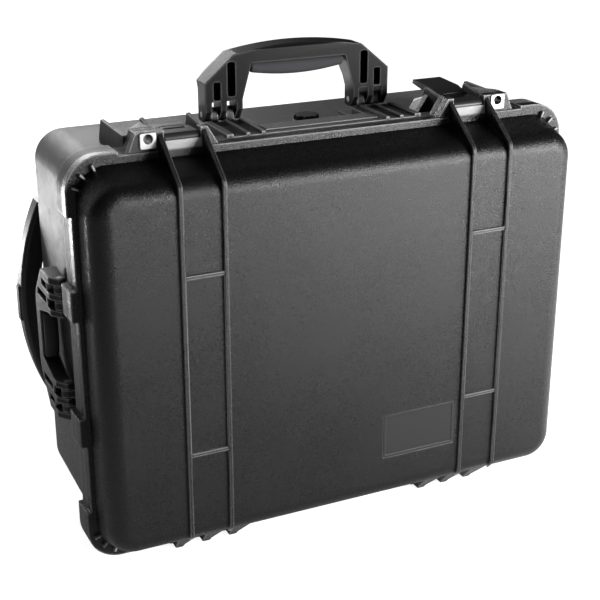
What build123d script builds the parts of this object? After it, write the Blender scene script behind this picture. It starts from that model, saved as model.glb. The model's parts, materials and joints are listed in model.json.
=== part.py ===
"""Wheeled hard case for a laptop: a moulded base and lid on two hinges, two
double-throw latches, a top and a side handle, a pull-out trolley and two wheels.

X runs along the width, Y from the lid's face to the back and Z up, in mm. The
case stands on its hinges, with the origin under the middle of its box.
"""
from build123d import *
from math import cos, radians, sin
import os

os.makedirs("parts", exist_ok=True)

# ---- Driving sizes -------------------------------------------------------
BASE_W, BASE_H = 512.0, 392.0      # base walls at the rim, outside
BASE_DEPTH = 183.0                 # rim to back
LID_DEPTH = 56.0                   # rim to the lid's face
STAND = 23.0                       # feet and trolley housing behind the back
WALL = 5.0
PART_GAP = 0.3                     # each rim's distance from the parting plane
SLIDE = 0.3                        # clearance round a moving piece
RUN = 0.05                         # radial play of a pin in a moving hole

# ---- Rims, lid and base --------------------------------------------------
RIM_OUT_X, RIM_OUT_Z = 9.0, 10.0   # rim beyond the base walls
RIM_R = 31.0
CORNER_OUT_X, CORNER_OUT_Z = 4.5, 3.0   # thicker rim round the corners
CORNER_FROM_TOP, CORNER_FROM_SIDE = 53.0, 47.0
LID_RIM_T, BASE_RIM_T = 11.5, 18.0
BASE_R, BASE_DRAFT_X, BASE_DRAFT_Z = 31.0, 4.0, 2.5
BACK_FILLET = 24.0
LID_IN_X, LID_IN_Z = 4.0, 7.5      # lid walls inside the rim's edge
LID_DRAFT_X, LID_BEVEL_Z = 2.5, 14.5
LID_R, LID_FILLET = 30.0, 20.0
RIB_PROUD, RIB_T, RIB_ROUND = 3.0, 5.0, 1.6
RIB_FOOT, BAR_T = 177.0, 4.0       # rib's lower bend below mid height
BAR_Z = (95.5, -88.0)              # cross-bars from mid height

# ---- Hinges --------------------------------------------------------------
KNUCKLE_R, PIN_R = 5.0, 2.5
HINGE_DROP = 6.0                   # axis below the rim
KNUCKLE_PITCH, KNUCKLE_GAP = 14.9, 0.6
HINGE_MID_X = 144.3
FIN_TIP, FIN_ROOT = 8.0, 24.0      # fin's width at the tip and at the wall

# ---- Latches (heights above the rim's top, depths from the parting plane)
ARM_X, ARM_W = 155.0, 33.8
LATCH_PIN_D, LATCH_PIN_H, LATCH_PIN_R = -4.5, 9.0, 2.0
LEVER_PIN_D, LEVER_PIN_H = 16.0, 9.0
EYE_R, LEVER_EYE_R, CHEEK_T = 5.0, 4.5, 5.8
NOTCH_GAP, EAR_T, EAR_H = 0.8, 7.4, 16.0
BOSS_IN = (37.0, 25.0)             # foot and top, inward from the latch's middle
BOSS_OUT = (20.0, 12.0)            # foot and top, outward from the padlock hole
BOSS_H, LID_BOSS_T, BASE_BOSS_T = 18.0, 10.0, 8.0
PLATE_GAP, PLATE_W, PLATE_T, LOCK_HOLE_R = 0.5, 16.0, 1.5, 4.5
PLATE_FOOT_H, PLATE_TOP_H, LOCK_HOLE_H = 2.5, 17.6, 11.7
FIN_T, FIN_SPACE, FIN_BACK_D, FIN_END_H = 4.0, 4.6, 37.0, 21.0   # fins on the base
OUTER_FIN_X, OUTER_FIN_D, OUTER_FIN_H = 50.0, (8.0, 76.0), (12.7, 13.5)
CATCH_D, CATCH_T = 28.0, 8.0
LIP_T, LIP_H, LIP_LAP = 1.5, 8.5, 1.0
LEVER_T, LEVER_BEND_D, LEVER_BEND_H = 4.5, 40.0, 12.0
LEVER_END_D, LEVER_END_H = 76.0, 1.5
RAISED = 19.0                      # degrees that the right lever stands open
CORNER_WEBS = (22.0, 45.0, 68.0)   # degrees round each corner

# ---- Handles (u across, v from pivot to grip, w outward) -----------------
PAD_X, PAD_FRONT_D, PAD_STEP_D, PAD_BACK_D = (58.0, 106.0), 2.0, 63.0, 94.0
RAILS = ((102.5, 7.0), (84.0, 4.0), (68.0, 4.0))
PAD_H, RAIL_H, BAR_H = 1.5, 4.0, 3.0
STOP_Z, STOP_OUT = (50.0, 81.0), 6.0
TOP_PIVOT_D, TOP_PIVOT_H = 78.0, 7.0
SIDE_PIVOT_D, SIDE_PIVOT_OUT = 50.0, 8.0
LEG_IN, LEG_OUT = 62.0, 102.5      # one leg of the top handle
SIDE_NARROWER = 27.0               # side handle's legs lie this much closer
PRONG_T, LUG_T, HANDLE_PIN_R = 7.0, 8.8, 3.0
FOOT_V, WINDOW_V, SHOULDER_V, CROWN_V = -7.0, 13.5, 33.0, 66.0
BEAM_V, GRIP_V, BELLY_V = 49.0, 39.0, 34.0
LUG_R = 6.5

# ---- Trolley -------------------------------------------------------------
TUBE_SPREAD, SLEEVE_W, SLEEVE_D, TUBE_T = 184.0, 24.0, 16.0, 1.0
HOUSING_SHORT, HOUSING_H, HOUSING_PLATE = 42.0, 224.0, 6.0   # housing shorter than the base
BOW_ROOT, BOW_STEPS = 6.5, (7.0, 10.5, 32.0)   # out from the housing's end, and from there
SCREW_HEAD_R, SCREW_HEAD_T, SCREW_R, SCREW_BITE = 4.0, 2.5, 2.0, 4.0
BUTTON_L, BUTTON_W, BUTTON_PROUD = 40.0, 12.0, 1.5

# ---- Wheels --------------------------------------------------------------
WHEEL_R, WHEEL_T, WHEEL_SPREAD, AXLE_R = 27.0, 27.0, 285.0, 4.0
TYRE_T, BEARING_R, BEARING_T = 6.0, 9.0, 7.0
POCKET_GAP, POCKET_WALL = 2.5, 4.0
POCKET_EDGE = WHEEL_R + POCKET_GAP + POCKET_WALL

# ---- Valve, foam, label --------------------------------------------------
VALVE_X, VALVE_D, VALVE_R, VALVE_STEM_R = 6.0, 62.0, 13.0, 8.0
SEAL_T, BODY_T, KNOB_T, SPINDLE_R = 1.2, 1.8, 5.0, 3.0
NUT_R, NUT_T = 13.0, 5.0
FOAM_GAP, LAPTOP_W, LAPTOP_H, LAPTOP_D = 1.0, 390.0, 275.0, 50.0
TRAY_W, TRAY_H, TRAY_D = 300.0, 180.0, 120.0
FOAM_FRONT_D, LID_FOAM_D = 6.0, 14.0
LID_ROOM_BEVEL = 12.0              # the lid's room narrows towards the face
SEAL_EDGE, SEAL_W, SEAL_D = 2.5, 4.0, 4.0
LABEL_X, LABEL_Z, LABEL_W, LABEL_H, LABEL_T = 82.3, -116.5, 85.5, 49.0, 0.8

# ---- Places worked out from the sizes ------------------------------------
DEPTH = RIB_PROUD + LID_DEPTH + BASE_DEPTH + STAND
SEAM = -DEPTH / 2 + RIB_PROUD + LID_DEPTH
FACE_Y, BACK_Y, REAR_Y = SEAM - LID_DEPTH, SEAM + BASE_DEPTH, DEPTH / 2
RIM_W, RIM_H = BASE_W + 2 * RIM_OUT_X, BASE_H + 2 * RIM_OUT_Z
HINGE_Z = KNUCKLE_R
RIM_BOTTOM = HINGE_Z + HINGE_DROP
MID_Z = RIM_BOTTOM + RIM_H / 2
RIM_TOP = MID_Z + RIM_H / 2
BASE_TOP = MID_Z + BASE_H / 2
ROOM_W, ROOM_H, ROOM_R = BASE_W - 2 * WALL, BASE_H - 2 * WALL, BASE_R - WALL
LID_W, LID_H = RIM_W - 2 * LID_IN_X, RIM_H - 2 * LID_IN_Z
WHEEL_X = RIM_W / 2 + CORNER_OUT_X + 6.0 - WHEEL_R
WHEEL_Y = REAR_Y - WHEEL_R
TUBE_Y = BACK_Y + STAND / 2
HOUSING_W = BASE_W - HOUSING_SHORT
BOW_END = HOUSING_W / 2 + BOW_ROOT
BOW_TIP, BOW_IN, BOW_OUT = (BOW_END + step for step in BOW_STEPS)
SCREWS = [(x, MID_Z + z) for x in (23.0 - HOUSING_W / 2, -100.0, 100.0, HOUSING_W / 2 - 39.0)
          for z in (-64.0, 64.0)]
NOTCH_W = ARM_W + 2 * NOTCH_GAP
EAR_X = (ARM_X - (NOTCH_W + EAR_T) / 2, ARM_X + (NOTCH_W + EAR_T) / 2)
BASE_NOTCH_W = ARM_W + 2 * FIN_SPACE
INNER_FIN_X, LATCH_FIN_X = (ARM_X + side_sign * (BASE_NOTCH_W + FIN_T) / 2 for side_sign in (-1, 1))
LOCK_X = LATCH_FIN_X + FIN_T / 2 + PLATE_GAP + PLATE_W / 2
BASE_FINS = ((INNER_FIN_X, PART_GAP, FIN_BACK_D, EAR_H, FIN_END_H),
             (LATCH_FIN_X, BASE_BOSS_T - 0.5, FIN_BACK_D, EAR_H, FIN_END_H),
             (ARM_X + OUTER_FIN_X, OUTER_FIN_D[0], OUTER_FIN_D[1], OUTER_FIN_H[0], OUTER_FIN_H[1]))


def front(y):
    """Sketch plane facing the lid's side: right is +X, up is +Z from mid height."""
    return Plane(origin=(0, y, MID_Z), x_dir=(1, 0, 0), z_dir=(0, -1, 0))


def side(x):
    """Sketch plane across the width: right is +Y, up is +Z."""
    return Plane(origin=(x, 0, 0), x_dir=(0, 1, 0), z_dir=(1, 0, 0))


def web(points, x, thickness, mode=Mode.ADD):
    """Flat web in the open part: an outline of (y, z) points, centred on x."""
    with BuildSketch(side(x)) as outline:
        with BuildLine():
            Polyline(*points, close=True)
        make_face()
    extrude(outline.sketch, amount=thickness / 2, both=True, mode=mode)


def bar(x, y, z, radius, length, mode=Mode.ADD):
    """Round bar or hole along X, centred on (x, y, z)."""
    with BuildSketch(side(x)) as section:
        with Locations((y, z)):
            Circle(radius)
    extrude(section.sketch, amount=length / 2, both=True, mode=mode)


def block(x_range, y_range, z_range, mode=Mode.ADD):
    """Plain block between two values of X, of Y and of Z."""
    with Locations(((x_range[0] + x_range[1]) / 2, (y_range[0] + y_range[1]) / 2,
                    (z_range[0] + z_range[1]) / 2)):
        Box(abs(x_range[1] - x_range[0]), abs(y_range[1] - y_range[0]),
            abs(z_range[1] - z_range[0]), mode=mode)


def shell_block(y_a, size_a, y_b, size_b, corner_r, end_fillet):
    """Drafted block from y_a to y_b, its corners and the edge of its y_b end rounded."""
    (w_a, h_a), (w_b, h_b) = size_a, size_b
    with BuildPart() as form:
        with BuildSketch(side(0)):
            with BuildLine():
                Polyline((y_a, MID_Z - h_a / 2), (y_b, MID_Z - h_b / 2), (y_b, MID_Z + h_b / 2),
                         (y_a, MID_Z + h_a / 2), close=True)
            make_face()
        extrude(amount=w_a, both=True)
        with BuildSketch(Plane.XY.offset(MID_Z)):
            with BuildLine():
                Polyline((-w_a / 2, y_a), (-w_b / 2, y_b), (w_b / 2, y_b), (w_a / 2, y_a), close=True)
            make_face()
        extrude(amount=h_a, both=True, mode=Mode.INTERSECT)
        ends = form.faces().sort_by(Axis.Y)
        corners = form.edges() - ends[0].edges() - ends[-1].edges()
        fillet(corners, corner_r)
        ends = form.faces().sort_by(Axis.Y)
        fillet((ends[-1] if y_b > y_a else ends[0]).edges(), end_fillet)
    return form.part


def rim(y_a, y_b):
    """Rim between two depths: a rounded frame, thicker round its four corners."""
    with BuildPart() as form:
        with BuildSketch(front(y_a)):
            RectangleRounded(RIM_W, RIM_H, RIM_R)
            with BuildSketch(front(y_a), mode=Mode.PRIVATE) as corners:
                RectangleRounded(RIM_W + 2 * CORNER_OUT_X, RIM_H + 2 * CORNER_OUT_Z,
                                 RIM_R + CORNER_OUT_Z)
                Rectangle(RIM_W - 2 * CORNER_FROM_SIDE, 2 * RIM_H, mode=Mode.SUBTRACT)
                Rectangle(2 * RIM_W, RIM_H - 2 * CORNER_FROM_TOP, mode=Mode.SUBTRACT)
            add(corners.sketch_local)
        extrude(amount=y_a - y_b)
    return form.part


def latch_boss(sign, y_a, y_b):
    """Trapezoid boss on one rim beside and behind a latch, from y_a to y_b."""
    foot = RIM_H / 2 - 2.0
    head = RIM_H / 2 + BOSS_H
    with BuildSketch(front(y_a)) as outline:
        with BuildLine():
            Polyline((sign * (ARM_X - BOSS_IN[0]), foot), (sign * (ARM_X - BOSS_IN[1]), head),
                     (sign * (LOCK_X + BOSS_OUT[1]), head), (sign * (LOCK_X + BOSS_OUT[0]), foot), close=True)
        make_face()
    extrude(outline.sketch, amount=y_a - y_b)


def lock_plate(sign, y_a, y_b):
    """Steel plate of the padlock hole between two depths."""
    height = PLATE_TOP_H - PLATE_FOOT_H
    mid = RIM_H / 2 + (PLATE_TOP_H + PLATE_FOOT_H) / 2
    with BuildPart() as plate:
        with BuildSketch(front(y_a)):
            with Locations((sign * LOCK_X, mid)):
                RectangleRounded(PLATE_W, height, 2.0)
            with Locations((sign * LOCK_X, RIM_H / 2 + LOCK_HOLE_H)):
                Circle(LOCK_HOLE_R, mode=Mode.SUBTRACT)
        extrude(amount=y_a - y_b)
    return plate.part


def lock_hole(sign, y_a, y_b):
    """Padlock hole through the boss between two depths."""
    with BuildSketch(front(y_a)) as section:
        with Locations((sign * LOCK_X, RIM_H / 2 + LOCK_HOLE_H)):
            Circle(LOCK_HOLE_R)
    extrude(section.sketch, amount=y_a - y_b, mode=Mode.SUBTRACT)


def hinge_fin(x, direction):
    """Knuckle at x with its fin, which widens up to the wall of the lid or base.

    direction is -1 for the lid and 1 for the base.
    """
    rim_y = SEAM + direction * PART_GAP
    reach = 40.0 if direction < 0 else 56.0
    wall_z = MID_Z - (LID_H / 2 - 8.5 if direction < 0 else BASE_H / 2 - 1.0)
    with BuildPart() as fin:
        web([(rim_y, 0.0), (SEAM + direction * 12.0, 0.0), (SEAM + direction * 15.0, 4.0),
             (SEAM + direction * reach, wall_z), (SEAM + direction * (reach - 2.0), wall_z + 2.5),
             (SEAM + direction * 12.0, RIM_BOTTOM + 11.0), (rim_y, RIM_BOTTOM + 9.0)],
            x, FIN_ROOT + 2.0)
        with BuildSketch(front(SEAM + 80.0)):
            low, high = HINGE_Z - KNUCKLE_R - MID_Z, wall_z + 6.0 - MID_Z
            with BuildLine():
                Polyline((x - FIN_TIP / 2, low), (x + FIN_TIP / 2, low),
                         (x + FIN_ROOT / 2, high), (x - FIN_ROOT / 2, high), close=True)
            make_face()
        extrude(amount=160.0, mode=Mode.INTERSECT)
        bar(x, SEAM, HINGE_Z, KNUCKLE_R, KNUCKLE_PITCH - KNUCKLE_GAP)
    return fin.part


def knuckle_places(owner):
    """X of the knuckles of one side's hinge: lid and base knuckles take turns."""
    steps = (-2, 0, 2) if owner == "lid" else (-1, 1)
    return [HINGE_MID_X + step * KNUCKLE_PITCH for step in steps]


def save(part, name):
    """Label one finished piece and write it."""
    part.label = name
    export_step(part, f"parts/{name}.step")


# ==== Base ================================================================
TOP_PIVOT = (SEAM + TOP_PIVOT_D, RIM_TOP + TOP_PIVOT_H)
SIDE_PIVOT = (-(BASE_W / 2 + SIDE_PIVOT_OUT), SEAM + SIDE_PIVOT_D)
AXLE_HALF = WHEEL_T / 2 + 1.5 + POCKET_WALL
LUG_STARTS = (LEG_IN + PRONG_T + SLIDE * 2, LEG_IN + 2 * PRONG_T + 10.0 + SLIDE * 2)
LUG_WIDTHS = (LUG_T, LUG_T - 1.0)


def wheel_housing(sign):
    """Pocket walls and cheeks that carry one wheel at the lower right back edge."""
    inner_x, inner_y = WHEEL_X - POCKET_EDGE, WHEEL_Y - POCKET_EDGE
    outer = AXLE_R + 6.0
    with BuildPart() as housing:
        with BuildSketch(Plane.XY.offset(MID_Z + sign * WHEEL_SPREAD / 2)) as outline:
            with Locations(((inner_x + WHEEL_X + outer) / 2, (inner_y + WHEEL_Y + outer) / 2)):
                Rectangle(WHEEL_X + outer - inner_x, WHEEL_Y + outer - inner_y)
            fillet(outline.vertices().group_by(Axis.X)[-1], outer)
        extrude(amount=AXLE_HALF, both=True)
    return housing.part


def wheel_space(sign):
    """Round space that one wheel turns in, open outward."""
    spaces = ((WHEEL_R + POCKET_GAP, AXLE_HALF - POCKET_WALL), (AXLE_R, AXLE_HALF + 1.0))
    for radius, half in spaces:
        with BuildSketch(Plane.XY.offset(MID_Z + sign * WHEEL_SPREAD / 2)) as section:
            with Locations((WHEEL_X, WHEEL_Y)):
                Circle(radius)
        extrude(section.sketch, amount=half, both=True, mode=Mode.SUBTRACT)


def lugs(plane, narrower, depth):
    """Four lugs between a handle's prongs, on both sides of the plane's origin.

    The plane's origin is the handle's pivot, its x direction runs along the pin and its
    normal points outward from the wall, which lies at the given depth.
    """
    for sign in (-1, 1):
        for start, width in zip(LUG_STARTS, LUG_WIDTHS):
            middle = sign * (start - narrower + width / 2)
            across = Plane(origin=plane.from_local_coords((middle, 0, 0)),
                           x_dir=plane.y_dir, z_dir=plane.x_dir)
            with BuildSketch(across) as lug:
                with BuildLine():
                    Polyline((-LUG_R, 0), (-LUG_R - 2.0, -depth), (LUG_R + 2.0, -depth), (LUG_R, 0))
                    ThreePointArc((LUG_R, 0), (0, LUG_R), (-LUG_R, 0))
                make_face()
                Circle(HANDLE_PIN_R, mode=Mode.SUBTRACT)
            extrude(lug.sketch, amount=width / 2, both=True)


TOP_HANDLE = Plane(origin=(0, *TOP_PIVOT), x_dir=(1, 0, 0), z_dir=(0, -1, 0))
SIDE_HANDLE = Plane(origin=(SIDE_PIVOT[0], SIDE_PIVOT[1], MID_Z), x_dir=(0, 0, 1), z_dir=(-1, 0, 0))
TOP_LUGS = Plane(origin=(0, *TOP_PIVOT), x_dir=(1, 0, 0), z_dir=(0, 0, 1))
SIDE_LUGS = Plane(origin=(SIDE_PIVOT[0], SIDE_PIVOT[1], MID_Z), x_dir=(0, 0, 1), z_dir=(-1, 0, 0))

with BuildPart() as base_shell:
    add(shell_block(SEAM + PART_GAP, (BASE_W, BASE_H), BACK_Y,
                    (BASE_W - 2 * BASE_DRAFT_X, BASE_H - 2 * BASE_DRAFT_Z), BASE_R, BACK_FILLET))
    add(rim(SEAM + PART_GAP, SEAM + BASE_RIM_T))
    for sign in (-1, 1):
        # Boss of the padlock hole and the notch that the latch drops into
        latch_boss(sign, SEAM + PART_GAP, SEAM + BASE_BOSS_T)
        block((sign * (ARM_X - BASE_NOTCH_W / 2), sign * (ARM_X + BASE_NOTCH_W / 2)),
              (SEAM - 1.0, SEAM + BASE_BOSS_T + 1.0), (RIM_TOP, RIM_TOP + BOSS_H + 1.0), mode=Mode.SUBTRACT)
        # Fins beside the latch and along the top
        for x, near, far, near_h, far_h in BASE_FINS:
            low = BASE_TOP - 4.0
            web([(SEAM + near, low), (SEAM + far + 8.0, low), (SEAM + far + 8.0, BASE_TOP + 4.0),
                 (SEAM + far, RIM_TOP + far_h), (SEAM + near, RIM_TOP + near_h)], sign * x, FIN_T)
        # Triangular web outside the fin, behind the padlock plate
        web_d = SEAM + BASE_BOSS_T + PLATE_T + 0.1
        with BuildSketch(Plane.XY.offset(RIM_TOP + BOSS_H - 2.0)):
            with BuildLine():
                Polyline((sign * LATCH_FIN_X, web_d), (sign * (LOCK_X + BOSS_OUT[1]), web_d),
                         (sign * LATCH_FIN_X, SEAM + FIN_BACK_D), close=True)
            make_face()
        extrude(amount=2.0)
        # Catch bar under the lever's nose, and the gusset at its inner end
        block((sign * INNER_FIN_X, sign * LATCH_FIN_X), (SEAM + CATCH_D, SEAM + CATCH_D + CATCH_T),
              (BASE_TOP - 4.0, RIM_TOP + 0.7))
        with BuildSketch(front(SEAM + CATCH_D)) as gusset:
            with BuildLine():
                Polyline((sign * (INNER_FIN_X - 19.0), BASE_H / 2 - 4.0),
                         (sign * (INNER_FIN_X - 19.0), BASE_H / 2 + 1.0),
                         (sign * (INNER_FIN_X - 1.5), RIM_H / 2 + 15.0), (sign * INNER_FIN_X, RIM_H / 2 + 15.0),
                         (sign * INNER_FIN_X, BASE_H / 2 - 4.0), close=True)
            make_face()
        extrude(gusset.sketch, amount=-CATCH_T)
        lock_hole(sign, SEAM, SEAM + BASE_BOSS_T + 1.0)
        # Pads in front of the handle's legs, with rails along them
        pad_x = (sign * PAD_X[0], sign * PAD_X[1])
        block(pad_x, (SEAM + PAD_FRONT_D, SEAM + PAD_STEP_D), (BASE_TOP - 4.0, RIM_TOP + PAD_H))
        for x, width in RAILS:
            block((sign * (x - width / 2), sign * (x + width / 2)),
                  (SEAM + PAD_FRONT_D, SEAM + PAD_STEP_D - 3.0), (RIM_TOP - 3.0, RIM_TOP + RAIL_H))
        block(pad_x, (SEAM + PAD_STEP_D, SEAM + PAD_BACK_D), (BASE_TOP - 4.0, BASE_TOP + 2.0))
        add(wheel_housing(sign))
        # Feet at the left end of the back
        with BuildSketch(Plane.XZ.offset(-BACK_Y + 2.0)):
            with Locations((-205.0, MID_Z + sign * WHEEL_SPREAD / 2)):
                RectangleRounded(46.0, 30.0, 8.0)
        extrude(amount=-(STAND + 2.0), taper=8)
    # Bar between the pads and the seat of the valve
    block((-PAD_X[0], PAD_X[0]), (SEAM + PAD_FRONT_D, SEAM + 11.0), (BASE_TOP - 4.0, RIM_TOP + PAD_H))
    block((-PAD_X[0] - 3.0, PAD_X[0] + 3.0), (SEAM + 11.0, SEAM + 30.0), (BASE_TOP - 4.0, RIM_TOP + BAR_H))
    with Locations((VALVE_X, SEAM + VALVE_D, BASE_TOP)):
        Cylinder(VALVE_R + 2.0, 4.0)
    lugs(TOP_LUGS, 0.0, RIM_TOP + TOP_PIVOT_H - BASE_TOP + 3.0)
    lugs(SIDE_LUGS, SIDE_NARROWER, SIDE_PIVOT_OUT + 3.0)
    for sign in (-1, 1):
        # Stops on the rim opposite the side handle's legs
        block((-(RIM_W / 2 + STOP_OUT), -(RIM_W / 2 - 10.0)), (SEAM + PART_GAP, SEAM + BASE_RIM_T),
              (MID_Z + sign * STOP_Z[0], MID_Z + sign * STOP_Z[1]))
        for x in knuckle_places("base"):
            add(hinge_fin(sign * x, 1))
            bar(sign * x, SEAM, HINGE_Z, PIN_R, KNUCKLE_PITCH, mode=Mode.SUBTRACT)
    # The room inside, with the wheel housings left standing in it
    with BuildPart(mode=Mode.PRIVATE) as room:
        add(shell_block(SEAM, (ROOM_W, ROOM_H), BACK_Y - WALL,
                        (ROOM_W - 2 * BASE_DRAFT_X, ROOM_H - 2 * BASE_DRAFT_Z),
                        ROOM_R, BACK_FILLET - WALL))
        for sign in (-1, 1):
            add(wheel_housing(sign), mode=Mode.SUBTRACT)
    add(room.part, mode=Mode.SUBTRACT)
    for sign in (-1, 1):
        wheel_space(sign)
    with Locations((VALVE_X, SEAM + VALVE_D, BASE_TOP - WALL)):
        Cylinder(VALVE_STEM_R + 0.1, 4 * WALL, mode=Mode.SUBTRACT)
    for x, z in SCREWS:
        with BuildSketch(front(BACK_Y)):
            with Locations((x, z - MID_Z)):
                Circle(SCREW_R + 0.1)
        extrude(amount=SCREW_BITE + 0.2, mode=Mode.SUBTRACT)
save(base_shell.part, "base_shell")

# Foam block that fills the base, with a bay for the laptop and a deeper tray
with BuildPart() as base_foam:
    add(shell_block(SEAM + FOAM_FRONT_D, (ROOM_W - 2 * FOAM_GAP - BASE_DRAFT_X,
                                          ROOM_H - 2 * FOAM_GAP - BASE_DRAFT_Z),
                    BACK_Y - WALL - FOAM_GAP,
                    (ROOM_W - 2 * FOAM_GAP - 2 * BASE_DRAFT_X, ROOM_H - 2 * FOAM_GAP - 2 * BASE_DRAFT_Z),
                    ROOM_R, BACK_FILLET - WALL))
    for sign in (-1, 1):
        middle = MID_Z + sign * WHEEL_SPREAD / 2
        inner = POCKET_EDGE + FOAM_GAP
        block((WHEEL_X - inner, RIM_W), (WHEEL_Y - inner, REAR_Y),
              (middle - sign * (AXLE_HALF + FOAM_GAP), middle + sign * ROOM_H / 2), mode=Mode.SUBTRACT)
    with Locations((VALVE_X, SEAM + VALVE_D, MID_Z + ROOM_H / 2)):
        Cylinder(NUT_R + 3.0, 20.0, mode=Mode.SUBTRACT)
    block((-LAPTOP_W / 2, LAPTOP_W / 2), (SEAM, SEAM + FOAM_FRONT_D + LAPTOP_D),
          (MID_Z - LAPTOP_H / 2, MID_Z + LAPTOP_H / 2), mode=Mode.SUBTRACT)
    block((-TRAY_W / 2, TRAY_W / 2), (SEAM, SEAM + FOAM_FRONT_D + TRAY_D),
          (MID_Z - TRAY_H / 2, MID_Z + TRAY_H / 2), mode=Mode.SUBTRACT)
save(base_foam.part, "base_foam")

# Hinge pins, held by the base's knuckles
with BuildPart() as hinge_pins:
    for sign in (-1, 1):
        bar(sign * HINGE_MID_X, SEAM, HINGE_Z, PIN_R, 5 * KNUCKLE_PITCH - KNUCKLE_GAP)
save(hinge_pins.part, "hinge_pins")

# Steel plates round the padlock holes, behind the base's boss
with BuildPart() as base_lock_plates:
    for sign in (-1, 1):
        add(lock_plate(sign, SEAM + BASE_BOSS_T, SEAM + BASE_BOSS_T + PLATE_T))
save(base_lock_plates.part, "base_lock_plates")

# Purge valve: seal, threaded body, nut inside the wall, and the knob that turns
SEAT_Z = BASE_TOP + 2.0
VALVE = Plane(origin=(VALVE_X, SEAM + VALVE_D, SEAT_Z))
with BuildPart() as valve_seal:
    with BuildSketch(VALVE):
        Circle(VALVE_R + 0.8)
        Circle(VALVE_STEM_R + 0.1, mode=Mode.SUBTRACT)
    extrude(amount=SEAL_T)
save(valve_seal.part, "valve_seal")

with BuildPart() as valve_body:
    with BuildSketch(VALVE.offset(SEAL_T)):
        Circle(VALVE_R + 0.8)
    extrude(amount=BODY_T)
    with BuildSketch(VALVE.offset(SEAL_T + BODY_T)):
        Circle(SPINDLE_R)
    extrude(amount=KNOB_T - 1.0)
    with BuildSketch(VALVE.offset(SEAL_T)):
        Circle(VALVE_STEM_R)
    extrude(amount=-(SEAL_T + 2.0 + 2 * WALL + NUT_T))
save(valve_body.part, "valve_body")

with BuildPart() as valve_nut:
    with BuildSketch(VALVE.offset(-(2.0 + WALL + BASE_DRAFT_Z))):
        RegularPolygon(NUT_R, 6)
        Circle(VALVE_STEM_R + RUN, mode=Mode.SUBTRACT)
    extrude(amount=-NUT_T)
save(valve_nut.part, "valve_nut")

with BuildPart() as valve_knob:
    with BuildSketch(VALVE.offset(SEAL_T + BODY_T + SLIDE)):
        Circle(VALVE_R)
        with PolarLocations(VALVE_R + 0.6, 8):
            Circle(2.4, mode=Mode.SUBTRACT)
    extrude(amount=KNOB_T)
    chamfer(valve_knob.faces().sort_by(Axis.Z)[-1].edges(), 0.6)
    with BuildSketch(VALVE.offset(SEAL_T + BODY_T)):
        Circle(SPINDLE_R + RUN)
    extrude(amount=KNOB_T - 1.0 + 2 * SLIDE, mode=Mode.SUBTRACT)
save(valve_knob.part, "valve_knob")


# ==== Trolley =============================================================
def tube(x_a, x_b, height, depth, wall, centre, mode=Mode.ADD):
    """Rectangular tube along X round a centre (y, z); solid where wall is 0."""
    with BuildSketch(side(x_a)) as section:
        with Locations(centre):
            RectangleRounded(depth, height, 3.0)
            if wall:
                RectangleRounded(depth - 2 * wall, height - 2 * wall, 3.0 - wall, mode=Mode.SUBTRACT)
    extrude(section.sketch, amount=x_b - x_a, mode=mode)


TUBES = [(TUBE_Y, MID_Z + sign * TUBE_SPREAD / 2) for sign in (-1, 1)]
MID_W, MID_D = SLEEVE_W - 2 * (TUBE_T + SLIDE), SLEEVE_D - 2 * (TUBE_T + SLIDE)
INNER_W, INNER_D = MID_W - 2 * (TUBE_T + SLIDE), MID_D - 2 * (TUBE_T + SLIDE)

# Housing screwed to the back: a plate between two rails that hold the sleeves
with BuildPart() as trolley_housing:
    with BuildSketch(front(BACK_Y)):
        RectangleRounded(HOUSING_W, HOUSING_H, 6.0)
    extrude(amount=-HOUSING_PLATE)
    for sign in (-1, 1):
        with BuildSketch(front(BACK_Y)):
            with Locations((0, sign * TUBE_SPREAD / 2)):
                RectangleRounded(HOUSING_W, SLEEVE_W + 2 * 8.0, 6.0)
        extrude(amount=-STAND, taper=5)
    for centre in TUBES:
        tube(-HOUSING_W, HOUSING_W / 2 - WALL, SLEEVE_W + 0.2, SLEEVE_D + 0.2, 0, centre,
             mode=Mode.SUBTRACT)
    for x, z in SCREWS:
        with BuildSketch(front(BACK_Y + HOUSING_PLATE - SCREW_HEAD_T)):
            with Locations((x, z - MID_Z)):
                Circle(SCREW_HEAD_R + 0.1)
        extrude(amount=-HOUSING_PLATE, mode=Mode.SUBTRACT)
        with BuildSketch(front(BACK_Y - 1.0)):
            with Locations((x, z - MID_Z)):
                Circle(SCREW_R + 0.1)
        extrude(amount=-HOUSING_PLATE, mode=Mode.SUBTRACT)
save(trolley_housing.part, "trolley_housing")

with BuildPart() as trolley_sleeves:
    for centre in TUBES:
        tube(-HOUSING_W / 2, HOUSING_W / 2 - WALL, SLEEVE_W, SLEEVE_D, TUBE_T, centre)
save(trolley_sleeves.part, "trolley_sleeves")

with BuildPart() as trolley_mid_tubes:
    for centre in TUBES:
        tube(-HOUSING_W / 2 - 1.0, HOUSING_W / 2 - WALL - 10.0, MID_W, MID_D, TUBE_T, centre)
save(trolley_mid_tubes.part, "trolley_mid_tubes")

with BuildPart() as trolley_inner_tubes:
    for centre in TUBES:
        tube(-BOW_END, HOUSING_W / 2 - WALL - 20.0, INNER_W, INNER_D, TUBE_T, centre)
save(trolley_inner_tubes.part, "trolley_inner_tubes")

with BuildPart() as housing_screws:
    for x, z in SCREWS:
        with BuildSketch(front(BACK_Y + HOUSING_PLATE - SCREW_HEAD_T)):
            with Locations((x, z - MID_Z)):
                Circle(SCREW_HEAD_R)
        extrude(amount=-(SCREW_HEAD_T - 0.4))
        with BuildSketch(front(BACK_Y - SCREW_BITE)):
            with Locations((x, z - MID_Z)):
                Circle(SCREW_R)
        extrude(amount=-(SCREW_BITE + HOUSING_PLATE - SCREW_HEAD_T))
save(housing_screws.part, "housing_screws")

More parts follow.
